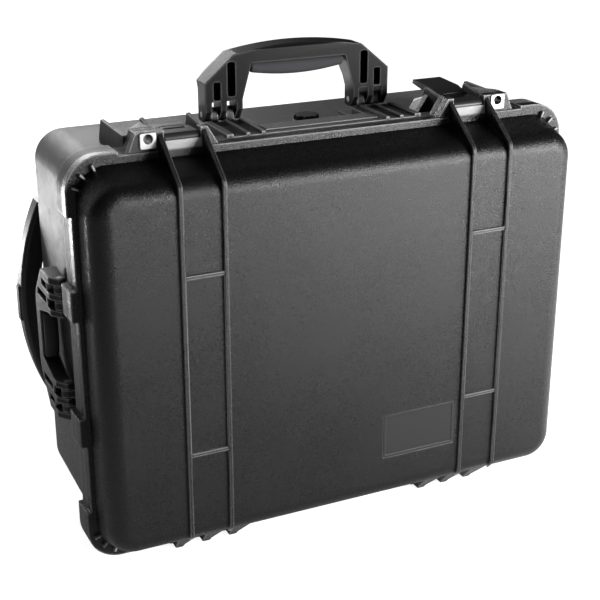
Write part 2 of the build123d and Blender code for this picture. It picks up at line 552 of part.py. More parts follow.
# Bowed grip on the ends of the inner tubes, with the release button in its middle
BUTTON_Y = TUBE_Y - 2.0
with BuildPart() as trolley_grip:
    half, gap = HOUSING_H / 2, TUBE_SPREAD / 2 - 22.0
    with BuildSketch(front(BACK_Y - 3.0)):
        with BuildLine():
            ThreePointArc((-BOW_TIP, -half), (-BOW_OUT, 0), (-BOW_TIP, half))
            Polyline((-BOW_TIP, half), (-BOW_END, half), (-BOW_END, gap))
            ThreePointArc((-BOW_END, gap), (-BOW_IN, 0), (-BOW_END, -gap))
            Polyline((-BOW_END, -gap), (-BOW_END, -half), (-BOW_TIP, -half))
        make_face()
    extrude(amount=-(STAND + 2.0))
    fillet(trolley_grip.edges().filter_by(GeomType.CIRCLE).group_by(SortBy.LENGTH)[-1], 5.0)
    fillet(trolley_grip.edges().filter_by(GeomType.CIRCLE).group_by(SortBy.LENGTH)[0], 3.0)
    for centre in TUBES:
        tube(-BOW_END - 4.0, 20.0 - BOW_END, INNER_W - 2 * TUBE_T - 0.2, INNER_D - 2 * TUBE_T - 0.2,
             0, centre)
    block((-BOW_OUT - 1.0, -BOW_OUT + 9.5), (BUTTON_Y - BUTTON_W / 2, BUTTON_Y + BUTTON_W / 2),
          (MID_Z - BUTTON_L / 2, MID_Z + BUTTON_L / 2), mode=Mode.SUBTRACT)
save(trolley_grip.part, "trolley_grip")

with BuildPart() as trolley_button:
    block((-BOW_OUT - BUTTON_PROUD, -BOW_OUT + 5.5),
          (BUTTON_Y - BUTTON_W / 2 + SLIDE, BUTTON_Y + BUTTON_W / 2 - SLIDE),
          (MID_Z - BUTTON_L / 2 + SLIDE, MID_Z + BUTTON_L / 2 - SLIDE))
    fillet(trolley_button.edges().filter_by(Axis.X), 2.0)
    chamfer(trolley_button.faces().sort_by(Axis.X)[0].edges(), 0.8)
save(trolley_button.part, "trolley_button")


# ==== Wheels ==============================================================
def ring(z, radius, bore, thickness):
    """Ring or disc round a wheel's axle, centred on height z."""
    with BuildSketch(Plane.XY.offset(z)) as section:
        with Locations((WHEEL_X, WHEEL_Y)):
            Circle(radius)
            if bore:
                Circle(bore, mode=Mode.SUBTRACT)
    extrude(section.sketch, amount=thickness / 2, both=True)


with BuildPart() as wheel_axles:
    for sign in (-1, 1):
        ring(MID_Z + sign * WHEEL_SPREAD / 2, AXLE_R, 0, 2 * AXLE_HALF)
save(wheel_axles.part, "wheel_axles")

for sign, name in ((1, "top"), (-1, "bottom")):
    height = MID_Z + sign * WHEEL_SPREAD / 2
    seats = [height - WHEEL_T / 2 + BEARING_T / 2, height + WHEEL_T / 2 - BEARING_T / 2]
    with BuildPart() as wheel_hub:
        ring(height, WHEEL_R - TYRE_T, AXLE_R + 1.0, WHEEL_T)
        for seat in seats:
            with BuildSketch(Plane.XY.offset(seat)):
                with Locations((WHEEL_X, WHEEL_Y)):
                    Circle(BEARING_R)
            extrude(amount=BEARING_T / 2, both=True, mode=Mode.SUBTRACT)
        for face in (1, -1):
            with BuildSketch(Plane.XY.offset(height + face * WHEEL_T / 2)):
                with Locations((WHEEL_X, WHEEL_Y)):
                    Circle(WHEEL_R - TYRE_T - 3.0)
                    Circle(BEARING_R + 2.5, mode=Mode.SUBTRACT)
            extrude(amount=-face * 5.0, mode=Mode.SUBTRACT)
    save(wheel_hub.part, f"wheel_hub_{name}")
    with BuildPart() as wheel_tyre:
        ring(height, WHEEL_R, WHEEL_R - TYRE_T, WHEEL_T)
        chamfer(wheel_tyre.edges().filter_by(GeomType.CIRCLE).group_by(SortBy.RADIUS)[-1], 2.0)
    save(wheel_tyre.part, f"wheel_tyre_{name}")
    with BuildPart() as wheel_bearings:
        for seat in seats:
            ring(seat, BEARING_R, AXLE_R + RUN, BEARING_T)
    save(wheel_bearings.part, f"wheel_bearings_{name}")


# ==== Lid =================================================================
LID_FACE_W, LID_FACE_H = LID_W - 2 * LID_DRAFT_X, LID_H - 2 * LID_BEVEL_Z
RIM_FRONT_Y = SEAM - LID_RIM_T
LID_RIM_RISE = LID_BEVEL_Z * (LID_RIM_T - PART_GAP) / (LID_DEPTH - LID_RIM_T)
LID_REAR_Y = SEAM - PART_GAP


def lid_rib(sign, x):
    """Upright rib on the lid's face that rises as a fin to the ear beside a latch."""
    crest = FACE_Y - RIB_PROUD
    top, ear_z = MID_Z + LID_FACE_H / 2, RIM_TOP + EAR_H
    foot = MID_Z - RIB_FOOT
    with BuildPart() as rib:
        with BuildSketch(side(sign * x)) as outline:
            with BuildLine():
                Polyline((crest, foot), (crest, top), (SEAM - 9.0, ear_z), (LID_REAR_Y, ear_z),
                         (LID_REAR_Y, RIM_TOP - 8.0), (RIM_FRONT_Y - 2.0, RIM_TOP - 11.0),
                         (FACE_Y + 2.5, top - 12.0), (FACE_Y + 2.5, foot - 2.0),
                         (FACE_Y + 6.0, foot - 10.0), close=True)
            make_face()
            fillet(outline.vertices().group_by(Axis.X)[0], 10.0)
        extrude(amount=RIB_T / 2, both=True)
        crests = [face for face in rib.faces() if face.normal_at().Y < -0.3]
        fillet([edge for face in crests for edge in face.edges() if abs((edge @ 0).X - (edge @ 1).X) < 0.1],
               RIB_ROUND)
    return rib.part


with BuildPart() as lid_shell:
    add(shell_block(LID_REAR_Y, (LID_W, LID_H + 2 * LID_RIM_RISE), FACE_Y, (LID_FACE_W, LID_FACE_H),
                    LID_R, LID_FILLET))
    add(rim(RIM_FRONT_Y, LID_REAR_Y))
    for sign in (-1, 1):
        for x in EAR_X:
            add(lid_rib(sign, x))
        for z in BAR_Z:
            block((sign * EAR_X[0], sign * EAR_X[1]), (FACE_Y - RIB_PROUD + 0.5, FACE_Y + 1.0),
                  (MID_Z + z - BAR_T / 2, MID_Z + z + BAR_T / 2))
        # Boss of the padlock hole, and ears either side of the latch's notch
        latch_boss(sign, SEAM - LID_BOSS_T, LID_REAR_Y)
        block((sign * (ARM_X - NOTCH_W / 2), sign * (ARM_X + NOTCH_W / 2)),
              (SEAM - LID_BOSS_T - 10.0, SEAM + 1.0), (RIM_TOP, RIM_TOP + 2 * BOSS_H), mode=Mode.SUBTRACT)
        for x in EAR_X:
            web([(SEAM - 9.0, RIM_TOP - 4.0), (LID_REAR_Y, RIM_TOP - 4.0), (LID_REAR_Y, RIM_TOP + EAR_H),
                 (SEAM - 8.0, RIM_TOP + EAR_H), (SEAM - 9.0, RIM_TOP + EAR_H - 2.0)], sign * x, EAR_T)
        block((sign * (ARM_X - NOTCH_W / 2 - LIP_LAP), sign * (ARM_X + NOTCH_W / 2 + LIP_LAP)),
              (RIM_FRONT_Y, RIM_FRONT_Y + LIP_T), (RIM_TOP - 4.0, RIM_TOP + LIP_H))
        bar(sign * ARM_X, SEAM + LATCH_PIN_D, RIM_TOP + LATCH_PIN_H, LATCH_PIN_R, NOTCH_W + 2 * EAR_T,
            mode=Mode.SUBTRACT)
        lock_hole(sign, SEAM - LID_BOSS_T - 1.0, SEAM)
        # Stops on the rim opposite the side handle's legs
        block((-(RIM_W / 2 + STOP_OUT), -(RIM_W / 2 - 10.0)), (RIM_FRONT_Y, LID_REAR_Y),
              (MID_Z + sign * STOP_Z[0], MID_Z + sign * STOP_Z[1]))
        for x in knuckle_places("lid"):
            add(hinge_fin(sign * x, -1))
            bar(sign * x, SEAM, HINGE_Z, PIN_R + RUN, KNUCKLE_PITCH, mode=Mode.SUBTRACT)
        # Short gussets that stiffen the rim's corners
        for end in (-1, 1):
            for angle in CORNER_WEBS:
                reach = LID_R + 1.0
                with Locations(Location((sign * (LID_W / 2 - LID_R + reach * cos(radians(angle))),
                                         RIM_FRONT_Y - 2.0,
                                         MID_Z + end * (LID_H / 2 - LID_R + reach * sin(radians(angle)))),
                                        (0, -sign * end * angle, 0))):
                    Box(8.0, 5.0, 2.0)
    add(shell_block(SEAM, (ROOM_W, ROOM_H), FACE_Y + WALL, (ROOM_W, ROOM_H - 2 * LID_ROOM_BEVEL),
                    ROOM_R, LID_FILLET - WALL), mode=Mode.SUBTRACT)
    # Groove for the seal, and the shallow seat of the label
    with BuildSketch(front(LID_REAR_Y)):
        RectangleRounded(ROOM_W + 2 * (SEAL_EDGE + SEAL_W), ROOM_H + 2 * (SEAL_EDGE + SEAL_W),
                         ROOM_R + SEAL_EDGE + SEAL_W)
        RectangleRounded(ROOM_W + 2 * SEAL_EDGE, ROOM_H + 2 * SEAL_EDGE, ROOM_R + SEAL_EDGE,
                         mode=Mode.SUBTRACT)
    extrude(amount=SEAL_D, mode=Mode.SUBTRACT)
    with BuildSketch(front(FACE_Y)):
        with Locations((LABEL_X, LABEL_Z)):
            RectangleRounded(LABEL_W, LABEL_H, 1.5)
    extrude(amount=-LABEL_T, mode=Mode.SUBTRACT)
save(lid_shell.part, "lid_shell")

with BuildPart() as lid_seal:
    with BuildSketch(front(LID_REAR_Y + PART_GAP)):
        RectangleRounded(ROOM_W + 2 * (SEAL_EDGE + SEAL_W) - 0.2, ROOM_H + 2 * (SEAL_EDGE + SEAL_W) - 0.2,
                         ROOM_R + SEAL_EDGE + SEAL_W)
        RectangleRounded(ROOM_W + 2 * SEAL_EDGE + 0.2, ROOM_H + 2 * SEAL_EDGE + 0.2, ROOM_R + SEAL_EDGE,
                         mode=Mode.SUBTRACT)
    extrude(amount=SEAL_D + PART_GAP)
save(lid_seal.part, "lid_seal")

with BuildPart() as lid_foam:
    add(shell_block(SEAM - LID_FOAM_D, (ROOM_W - 2 * FOAM_GAP, ROOM_H - 9.0),
                    FACE_Y + WALL, (ROOM_W - 2 * FOAM_GAP, ROOM_H - 2 * LID_ROOM_BEVEL - 4.0),
                    ROOM_R, LID_FILLET - WALL + 1.0))
save(lid_foam.part, "lid_foam")

with BuildPart() as label_plate:
    with BuildSketch(front(FACE_Y + LABEL_T)):
        with Locations((LABEL_X, LABEL_Z)):
            RectangleRounded(LABEL_W - 0.4, LABEL_H - 0.4, 1.3)
    extrude(amount=LABEL_T)
save(label_plate.part, "label_plate")

with BuildPart() as lid_lock_plates:
    for sign in (-1, 1):
        add(lock_plate(sign, SEAM - LID_BOSS_T - PLATE_T, SEAM - LID_BOSS_T))
save(lid_lock_plates.part, "lid_lock_plates")

with BuildPart() as latch_pins:
    for sign in (-1, 1):
        bar(sign * ARM_X, SEAM + LATCH_PIN_D, RIM_TOP + LATCH_PIN_H, LATCH_PIN_R, NOTCH_W + 2 * EAR_T)
save(latch_pins.part, "latch_pins")


# ==== Latches =============================================================
ARM_Y, ARM_Z = SEAM + LATCH_PIN_D, RIM_TOP + LATCH_PIN_H
LEVER_Y, LEVER_Z = SEAM + LEVER_PIN_D, RIM_TOP + LEVER_PIN_H
CHEEK_X = ARM_W / 2 - CHEEK_T / 2

for sign, name in ((-1, "left"), (1, "right")):
    centre = sign * ARM_X
    with BuildPart() as latch_arm:
        # Eye round the lid's pin, a bridge over the seam and two cheeks at the lever's pin
        bar(centre, ARM_Y, ARM_Z, EYE_R, ARM_W)
        bridge = LEVER_Y - LEVER_EYE_R - 2.3
        web([(ARM_Y, ARM_Z - EYE_R), (ARM_Y, ARM_Z + EYE_R), (bridge, ARM_Z + EYE_R), (bridge, ARM_Z - EYE_R)],
            centre, ARM_W)
        for cheek in (-1, 1):
            x = centre + cheek * CHEEK_X
            web([(ARM_Y, ARM_Z - EYE_R), (ARM_Y, ARM_Z + EYE_R), (LEVER_Y, LEVER_Z + EYE_R),
                 (LEVER_Y, LEVER_Z - EYE_R)], x, CHEEK_T)
            bar(x, LEVER_Y, LEVER_Z, EYE_R, CHEEK_T)
        bar(centre, ARM_Y, ARM_Z, LATCH_PIN_R + RUN, 2 * ARM_W, mode=Mode.SUBTRACT)
        bar(centre, LEVER_Y, LEVER_Z, LATCH_PIN_R, 2 * ARM_W, mode=Mode.SUBTRACT)
    save(latch_arm.part, f"latch_arm_{name}")

    with BuildPart() as latch_lever:
        inner_w = ARM_W - 2 * CHEEK_T - 2 * SLIDE
        bar(centre, LEVER_Y, LEVER_Z, LEVER_EYE_R, inner_w)
        wide = LEVER_Y + EYE_R + 1.0
        low_z, bend_z = RIM_TOP + 3.0, RIM_TOP + LEVER_BEND_H
        web([(LEVER_Y, LEVER_Z - LEVER_EYE_R), (LEVER_Y, LEVER_Z + LEVER_EYE_R), (wide + 2.0, bend_z + 1.0),
             (wide + 2.0, low_z)], centre, inner_w)
        # Finger plate behind the arm's cheeks, bent down towards the base
        web([(wide, low_z), (wide, bend_z + 1.0), (SEAM + LEVER_BEND_D, bend_z),
             (SEAM + LEVER_END_D, RIM_TOP + LEVER_END_H), (SEAM + LEVER_END_D, RIM_TOP + LEVER_END_H - LEVER_T),
             (SEAM + LEVER_BEND_D + 2.0, low_z)], centre, ARM_W)
        # Nose over the catch bar
        web([(SEAM + CATCH_D + CATCH_T - 0.5, RIM_TOP + 1.2), (SEAM + CATCH_D + CATCH_T + 4.0, RIM_TOP + 1.2),
             (SEAM + CATCH_D + CATCH_T + 5.0, bend_z - 4.0), (SEAM + CATCH_D + CATCH_T - 2.0, bend_z - 4.0)],
            centre, inner_w)
        bar(centre, LEVER_Y, LEVER_Z, LATCH_PIN_R + RUN, 2 * ARM_W, mode=Mode.SUBTRACT)
    lever = latch_lever.part
    if name == "right":
        lever = lever.rotate(Axis((0, LEVER_Y, LEVER_Z), (1, 0, 0)), RAISED)
    save(lever, f"latch_lever_{name}")

    with BuildPart() as lever_pin:
        bar(centre, LEVER_Y, LEVER_Z, LATCH_PIN_R, ARM_W)
    save(lever_pin.part, f"lever_pin_{name}")


# ==== Handles =============================================================
def handle_frame(plane, narrower, face, back, grip_back):
    """Arched handle frame with forked legs, drawn in the plane through its pivot."""
    leg_in, leg_out = LEG_IN - narrower, LEG_OUT - narrower
    with BuildPart() as frame:
        with BuildSketch(plane.offset(face)):
            with BuildLine():
                Polyline((-leg_out + 31.0, CROWN_V - 7.0), (-leg_out, SHOULDER_V), (-leg_out, FOOT_V),
                         (leg_out, FOOT_V), (leg_out, SHOULDER_V), (leg_out - 31.0, CROWN_V - 7.0))
                ThreePointArc((leg_out - 31.0, CROWN_V - 7.0), (0, CROWN_V),
                              (-leg_out + 31.0, CROWN_V - 7.0))
            make_face()
            with BuildLine():
                Polyline((-leg_in, FOOT_V), (leg_in, FOOT_V), (leg_in, 14.0), (leg_in - 7.0, GRIP_V),
                         (leg_in - 10.0, BEAM_V), (-leg_in + 10.0, BEAM_V), (-leg_in + 7.0, GRIP_V),
                         (-leg_in, 14.0), close=True)
            make_face(mode=Mode.SUBTRACT)
        extrude(amount=-(face - grip_back))
        # Side profile: rounded foot, thinner legs and a deeper beam
        with BuildSketch(Plane(origin=plane.origin, x_dir=plane.y_dir, z_dir=plane.x_dir)) as profile:
            with BuildLine():
                Polyline((0, back), (SHOULDER_V - 8.0, back), (SHOULDER_V + 8.0, grip_back),
                         (CROWN_V + 1.0, grip_back), (CROWN_V + 1.0, face - 3.0), (CROWN_V - 4.0, face),
                         (4.0, face), (FOOT_V, face - 8.0), (FOOT_V, 0), (back + 1.5, back + 0.5), (0, back))
            make_face()
        extrude(amount=2 * LEG_OUT, both=True, mode=Mode.INTERSECT)
        for sign in (-1, 1):
            # Slots between the prongs, for the lugs
            for start, width in zip(LUG_STARTS, LUG_WIDTHS):
                middle = sign * (start - narrower + width / 2)
                with BuildSketch(plane.offset(face + 1.0)):
                    with Locations((middle, (WINDOW_V + FOOT_V) / 2)):
                        Rectangle(width + 4 * SLIDE, WINDOW_V - FOOT_V)
                extrude(amount=-(face - back + 2.0), mode=Mode.SUBTRACT)
            # Deep slot and small pocket in the leg's outer face
            with BuildSketch(plane.offset(face)):
                with Locations((sign * (leg_in + 12.0), 35.0)):
                    RectangleRounded(8.0, 34.0, 2.5)
                with Locations((sign * (leg_in + 27.5), 24.0)):
                    RectangleRounded(7.0, 18.0, 2.0)
            extrude(amount=-0.55 * (face - back), mode=Mode.SUBTRACT)
        with BuildSketch(Plane(origin=plane.origin, x_dir=plane.y_dir, z_dir=plane.x_dir)) as bore:
            Circle(HANDLE_PIN_R + RUN)
        extrude(amount=2 * LEG_OUT, both=True, mode=Mode.SUBTRACT)
    return frame.part


def handle_grip(plane, narrower, face, grip_back):
    """Soft grip under the frame's beam, with a belly for the fingers."""
    half = LEG_IN - narrower - 10.0 - SLIDE
    with BuildPart() as grip:
        with BuildSketch(plane.offset(face - 1.5)):
            with BuildLine():
                ThreePointArc((-half, GRIP_V), (0, BELLY_V), (half, GRIP_V))
                Polyline((half, GRIP_V), (half, BEAM_V), (-half, BEAM_V), (-half, GRIP_V))
            make_face()
        extrude(amount=-(face - 1.5 - grip_back - 1.0))
        chamfer(grip.edges().filter_by(GeomType.CIRCLE), 4.0)
    return grip.part


def handle_pins(plane, narrower):
    """Two pins, one through the prongs and lugs of each leg."""
    length = LEG_OUT - LEG_IN
    with BuildPart() as pins:
        for sign in (-1, 1):
            middle = sign * ((LEG_IN + LEG_OUT) / 2 - narrower)
            with BuildSketch(Plane(origin=plane.from_local_coords((middle, 0, 0)), z_dir=plane.x_dir)):
                Circle(HANDLE_PIN_R)
            extrude(amount=length / 2, both=True)
    return pins.part


save(handle_frame(TOP_HANDLE, 0.0, 12.0, -8.0, -14.0), "top_handle_frame")
save(handle_grip(TOP_HANDLE, 0.0, 12.0, -14.0), "top_handle_grip")
save(handle_pins(TOP_HANDLE, 0.0), "top_handle_pins")
save(handle_frame(SIDE_HANDLE, SIDE_NARROWER, 10.5, -5.0, -6.0), "side_handle_frame")
save(handle_grip(SIDE_HANDLE, SIDE_NARROWER, 10.5, -6.0), "side_handle_grip")
save(handle_pins(SIDE_HANDLE, SIDE_NARROWER), "side_handle_pins")
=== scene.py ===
"""Looks of a wheeled hard case: moulded shells, latches, handles, trolley and foam.

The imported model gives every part's place. Parts whose shape is right are copied from
it with merged points, softened edges and a procedural finish; soft parts, rubber and
small fittings are surfaces worked out here. All lengths are in metres.
"""

import json
import logging
from dataclasses import dataclass
from enum import Enum
from math import pi, radians
from typing import Any, Sequence

import bmesh
import bpy
import numpy as np
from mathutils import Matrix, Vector


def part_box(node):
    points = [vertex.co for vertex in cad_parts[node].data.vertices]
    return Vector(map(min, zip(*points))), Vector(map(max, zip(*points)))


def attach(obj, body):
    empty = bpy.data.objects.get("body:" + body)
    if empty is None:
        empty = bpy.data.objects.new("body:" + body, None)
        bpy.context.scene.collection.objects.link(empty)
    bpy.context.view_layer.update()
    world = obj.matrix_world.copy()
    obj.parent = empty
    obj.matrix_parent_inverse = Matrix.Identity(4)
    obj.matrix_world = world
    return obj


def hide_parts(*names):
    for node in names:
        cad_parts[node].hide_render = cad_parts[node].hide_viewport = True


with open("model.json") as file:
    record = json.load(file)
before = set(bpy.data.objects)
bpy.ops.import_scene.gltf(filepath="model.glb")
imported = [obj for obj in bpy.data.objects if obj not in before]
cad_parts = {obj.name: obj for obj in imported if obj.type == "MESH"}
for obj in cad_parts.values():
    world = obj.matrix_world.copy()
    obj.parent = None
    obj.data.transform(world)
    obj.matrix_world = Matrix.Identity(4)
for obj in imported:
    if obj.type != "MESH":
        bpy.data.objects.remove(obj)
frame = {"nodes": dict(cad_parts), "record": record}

LOG = logging.getLogger("hard_case")
MM = 0.001
RECORD = frame["record"]
BODY_OF = {node: body for body, nodes in RECORD["behaviour"]["bodies"].items() for node in nodes}
SLOT_OF = {part["node"]: part["material_slot"] for part in RECORD["subparts"]}


# ---- Finishes ------------------------------------------------------------
BROAD_SCALE, BROAD_DETAIL, BROAD_ROUGHNESS = 9.0, 5.0, 0.62   # patches about 10 cm across
FINE_SCALE, FINE_DETAIL = 0.8, 3.0     # mottle a little coarser than one grain
FINE_SHARE = 0.6                       # of the mottle in the uneven gloss
NOISE_RANGE = (0.35, 0.65)             # where nearly all values of a noise lie
GRAIN_DETAIL, GRAIN_ROUGHNESS = 4.0, 0.65
LINE_DETAIL, LINE_STRETCH = 2.0, (0.02, 1.0, 1.0)   # brushed lines run along X
SHEEN_ROUGHNESS = 0.4
# Painted highlight on the outer edges: a paler colour and a smoother gloss where short rays into the solid
# soon leave it.
HIGHLIGHT_REACH, HIGHLIGHT_RAYS = 2.4 * MM, 6    # how far rays look into the solid
HIGHLIGHT_STARTS, HIGHLIGHT_FULL = 0.9, 0.5      # shares of those rays that meet nothing
HIGHLIGHT_ROUGHNESS = 0.22


class Graph:
    """A material's or world's node tree with a short way to add and join nodes."""

    def __init__(self, tree: bpy.types.NodeTree) -> None:
        """Clear the tree and keep it."""
        self.tree = tree
        tree.nodes.clear()

    def add(self, kind: str, inputs: dict[Any, Any] | None = None, **settings: Any) -> bpy.types.Node:
        """Add one node.

        Args:
            kind: The node's type name without its ShaderNode prefix.
            inputs: Input name or index to a value, or to a socket to join.
            settings: Attributes to set on the node.

        Returns:
            The new node.
        """
        node = self.tree.nodes.new("ShaderNode" + kind)
        for key, value in settings.items():
            setattr(node, key, value)
        for key, value in (inputs or {}).items():
            if isinstance(value, bpy.types.NodeSocket):
                self.tree.links.new(value, node.inputs[key])
            else:
                node.inputs[key].default_value = value
        return node


class Relief(Enum):
    """What the skin of a finish is shaped like, close up."""

    GRAIN = "moulded grain"
    BRUSHED = "brushed lines"
    CELLS = "open foam cells"
    SMOOTH = "smooth"


@dataclass(frozen=True)
class Finish:
    """A surface: its colour, gloss and the relief of its skin.

    Attributes:
        name: Name of the material.
        colour: Linear colour of the bare surface.
        roughness: Middle roughness, which patches vary by a little.
        relief: Kind of relief.
        size: Size of one grain, line or cell, in metres.
        height: Height of the relief, in metres.
        mottle: Share by which patches differ in colour.
        metallic: 1 for metal.
        specular: Level of the surface's own reflection.
        sheen: Weight of the soft sheen at grazing angles.
        uneven: How far the roughness goes up and down.
        stretch: Scale of the grain along X, Y and Z, below 1 where it is drawn out.
        edge_highlight: Grey of the painted highlight on the outer edges, 0 where none is painted.
    """

    name: str
    colour: tuple[float, float, float]
    roughness: float
    relief: Relief = Relief.GRAIN
    size: float = 0.9 * MM
    height: float = 0.05 * MM
    mottle: float = 0.15
    metallic: float = 0.0
    specular: float = 0.5
    sheen: float = 0.0
    uneven: float = 0.05
    stretch: tuple[float, float, float] = (1.0, 1.0, 1.0)
    edge_highlight: float = 0.0

    def material(self) -> bpy.types.Material:
        """The finish as a node material, made once and then reused.

        Returns:
            The material.
        """
        made = bpy.data.materials.get(self.name)
        if made:
            return made
        made = bpy.data.materials.new(self.name)
        made.use_nodes = True
        graph = Graph(made.node_tree)
        place = graph.add("Mapping", {"Vector": graph.add("TexCoord").outputs["Object"],
                                      "Scale": self.stretch}).outputs["Vector"]
        colour, roughness = self.patches(graph, place)
        if self.edge_highlight:
            colour, roughness = self.painted_edge_highlights(graph, colour, roughness)
        inputs = {"Base Color": colour, "Roughness": roughness, "Metallic": self.metallic,
                  "Specular IOR Level": self.specular, "Sheen Weight": self.sheen,
                  "Sheen Roughness": SHEEN_ROUGHNESS}
        if self.relief is not Relief.SMOOTH:
            bump = graph.add("Bump", {"Height": self.raised(graph, place), "Distance": self.height,
                                      "Strength": 1.0})
            inputs["Normal"] = bump.outputs["Normal"]
        shader = graph.add("BsdfPrincipled", inputs)
        graph.add("OutputMaterial", {"Surface": shader.outputs["BSDF"]})
        made.diffuse_color = (*self.colour, 1.0)
        return made

    def patches(self, graph: Graph,
                place: bpy.types.NodeSocket) -> tuple[bpy.types.NodeSocket, bpy.types.NodeSocket]:
        """Uneven colour and gloss: fine mottle in the colour, and broad patches in the gloss too.

        Args:
            graph: The material's nodes.
            place: Place on the piece.

        Returns:
            The sockets for the colour and for the roughness.
        """
        broad = graph.add("TexNoise", {"Vector": place, "Scale": BROAD_SCALE, "Detail": BROAD_DETAIL,
                                       "Roughness": BROAD_ROUGHNESS})
        fine = graph.add("TexNoise", {"Vector": place, "Scale": FINE_SCALE / self.size,
                                      "Detail": FINE_DETAIL})
        both = graph.add("Mix", {"Factor": FINE_SHARE, "A": broad.outputs["Fac"], "B": fine.outputs["Fac"]},
                         data_type="FLOAT")
        low, high = NOISE_RANGE
        gloss = graph.add("MapRange", {"Value": both.outputs["Result"], "From Min": low, "From Max": high,
                                       "To Min": self.roughness - self.uneven,
                                       "To Max": self.roughness + self.uneven})
        dark = tuple(c * (1 - self.mottle) for c in self.colour)
        light = tuple(c * (1 + self.mottle) for c in self.colour)
        shade = graph.add("Mix", {"Factor": fine.outputs["Fac"], "A": (*dark, 1.0), "B": (*light, 1.0)},
                          data_type="RGBA")
        return shade.outputs["Result"], gloss.outputs["Result"]

    def painted_edge_highlights(self, graph: Graph, colour: bpy.types.NodeSocket,
             roughness: bpy.types.NodeSocket) -> tuple[bpy.types.NodeSocket, bpy.types.NodeSocket]:
        """Painted highlights: paler, smoother outer edges, where short rays inside the solid soon meet its
        other side.

        Args:
            graph: The material's nodes.
            colour: The unworn colour.
            roughness: The unworn roughness.

        Returns:
            The sockets for the colour and for the roughness.
        """
        inside = graph.add("AmbientOcclusion", {"Distance": HIGHLIGHT_REACH}, samples=HIGHLIGHT_RAYS, inside=True,
                           only_local=True)
        edge = graph.add("MapRange", {"Value": inside.outputs["AO"], "From Min": HIGHLIGHT_STARTS,
                                      "From Max": HIGHLIGHT_FULL, "To Min": 0.0, "To Max": 1.0},
                         interpolation_type="SMOOTHSTEP").outputs["Result"]
        # Painted highlight: this pale grey stands in for light caught by the rounded edges.
        highlight_grey = (self.edge_highlight, self.edge_highlight, self.edge_highlight, 1.0)
        shade = graph.add("Mix", {"Factor": edge, "A": colour, "B": highlight_grey}, data_type="RGBA")
        gloss = graph.add("Mix", {"Factor": edge, "A": roughness, "B": HIGHLIGHT_ROUGHNESS}, data_type="FLOAT")
        return shade.outputs["Result"], gloss.outputs["Result"]

    def raised(self, graph: Graph, place: bpy.types.NodeSocket) -> bpy.types.NodeSocket:
        """Height of the relief: cells, drawn-out noise for brushed lines, or plain noise for grain.

        Args:
            graph: The material's nodes.
            place: Place on the piece.

        Returns:
            The socket for the height, from 0 to 1.
        """
        scale = 1.0 / self.size
        if self.relief is Relief.CELLS:
            return graph.add("TexVoronoi", {"Vector": place, "Scale": scale}).outputs["Distance"]
        if self.relief is Relief.BRUSHED:
            drawn = graph.add("Mapping", {"Vector": place, "Scale": LINE_STRETCH}).outputs["Vector"]
            return graph.add("TexNoise", {"Vector": drawn, "Scale": scale,
                                          "Detail": LINE_DETAIL}).outputs["Fac"]
        return graph.add("TexNoise", {"Vector": place, "Scale": scale, "Detail": GRAIN_DETAIL,
                                      "Roughness": GRAIN_ROUGHNESS}).outputs["Fac"]


# The edge grey set below paints pale highlights along the outer edges.
SHELL = Finish("moulded_shell", (0.006, 0.006, 0.0058), 0.3, size=1.2 * MM, height=0.5 * MM, uneven=0.12,
               edge_highlight=0.45)
BASE = Finish("moulded_base", (0.008, 0.008, 0.0078), 0.5, size=1.7 * MM, height=0.6 * MM, uneven=0.1,
              stretch=(1.0, 1.0, 0.3), edge_highlight=0.45, sheen=0.25)
LATCH = Finish("latch_plastic", (0.008, 0.008, 0.008), 0.34, size=1.0 * MM, height=0.06 * MM, specular=0.2,
               edge_highlight=0.12)
HANDLE = Finish("handle_plastic", (0.008, 0.008, 0.008), 0.36, size=1.2 * MM, height=0.12 * MM,
                specular=0.09, edge_highlight=0.12)
# Painted light: the grip is black rubber, and its grey colour stands in for the light that falls on it.
RUBBER = Finish("grip_rubber", (0.42, 0.42, 0.41), 0.55, size=0.5 * MM, height=0.02 * MM, sheen=0.2)
SEAL = Finish("seal_rubber", (0.030, 0.030, 0.030), 0.60, Relief.SMOOTH)
FOAM = Finish("foam", (0.028, 0.028, 0.030), 0.95, Relief.CELLS, size=1.4 * MM, height=0.6 * MM,
              mottle=0.35, specular=0.2, sheen=0.3)
STEEL = Finish("steel", (0.055, 0.055, 0.053), 0.4, Relief.BRUSHED, size=0.5 * MM, height=0.01 * MM,
               mottle=0.05, metallic=1.0)
ANODISED = Finish("anodised_tube", (0.09, 0.09, 0.095), 0.35, Relief.BRUSHED, size=0.4 * MM,
                  height=0.01 * MM, mottle=0.05, metallic=1.0)
TYRE = Finish("tyre", (0.020, 0.020, 0.021), 0.62, size=0.7 * MM, height=0.03 * MM)
LABEL = Finish("label_film", (0.028, 0.028, 0.029), 0.34, Relief.SMOOTH, mottle=0.08)

FINISH_OF_SLOT = {"shell_plastic": SHELL, "latch_plastic": LATCH, "grip_rubber": RUBBER,
                  "seal_rubber": SEAL, "foam": FOAM, "label": LABEL, "steel": STEEL,
                  "tube_metal": ANODISED, "tyre": TYRE}


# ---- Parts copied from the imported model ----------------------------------
MERGE = 2e-6                           # points nearer than this become one
FLAT_ANGLE = radians(0.6)              # faces that differ by less lie in one plane


def settle(piece: bpy.types.Object, node: str, finish: Finish) -> bpy.types.Object:
    """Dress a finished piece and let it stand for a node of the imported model.

    Args:
        piece: The piece, at the origin, with its place in its mesh.
        node: The node that it stands for.
        finish: Its finish.

    Returns:
        The same piece.
    """
    piece.data.materials.clear()
    piece.data.materials.append(finish.material())
    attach(piece, BODY_OF[node])
    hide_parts(node)
    LOG.info("%s rides on %s", piece.name, BODY_OF[node])
    return piece


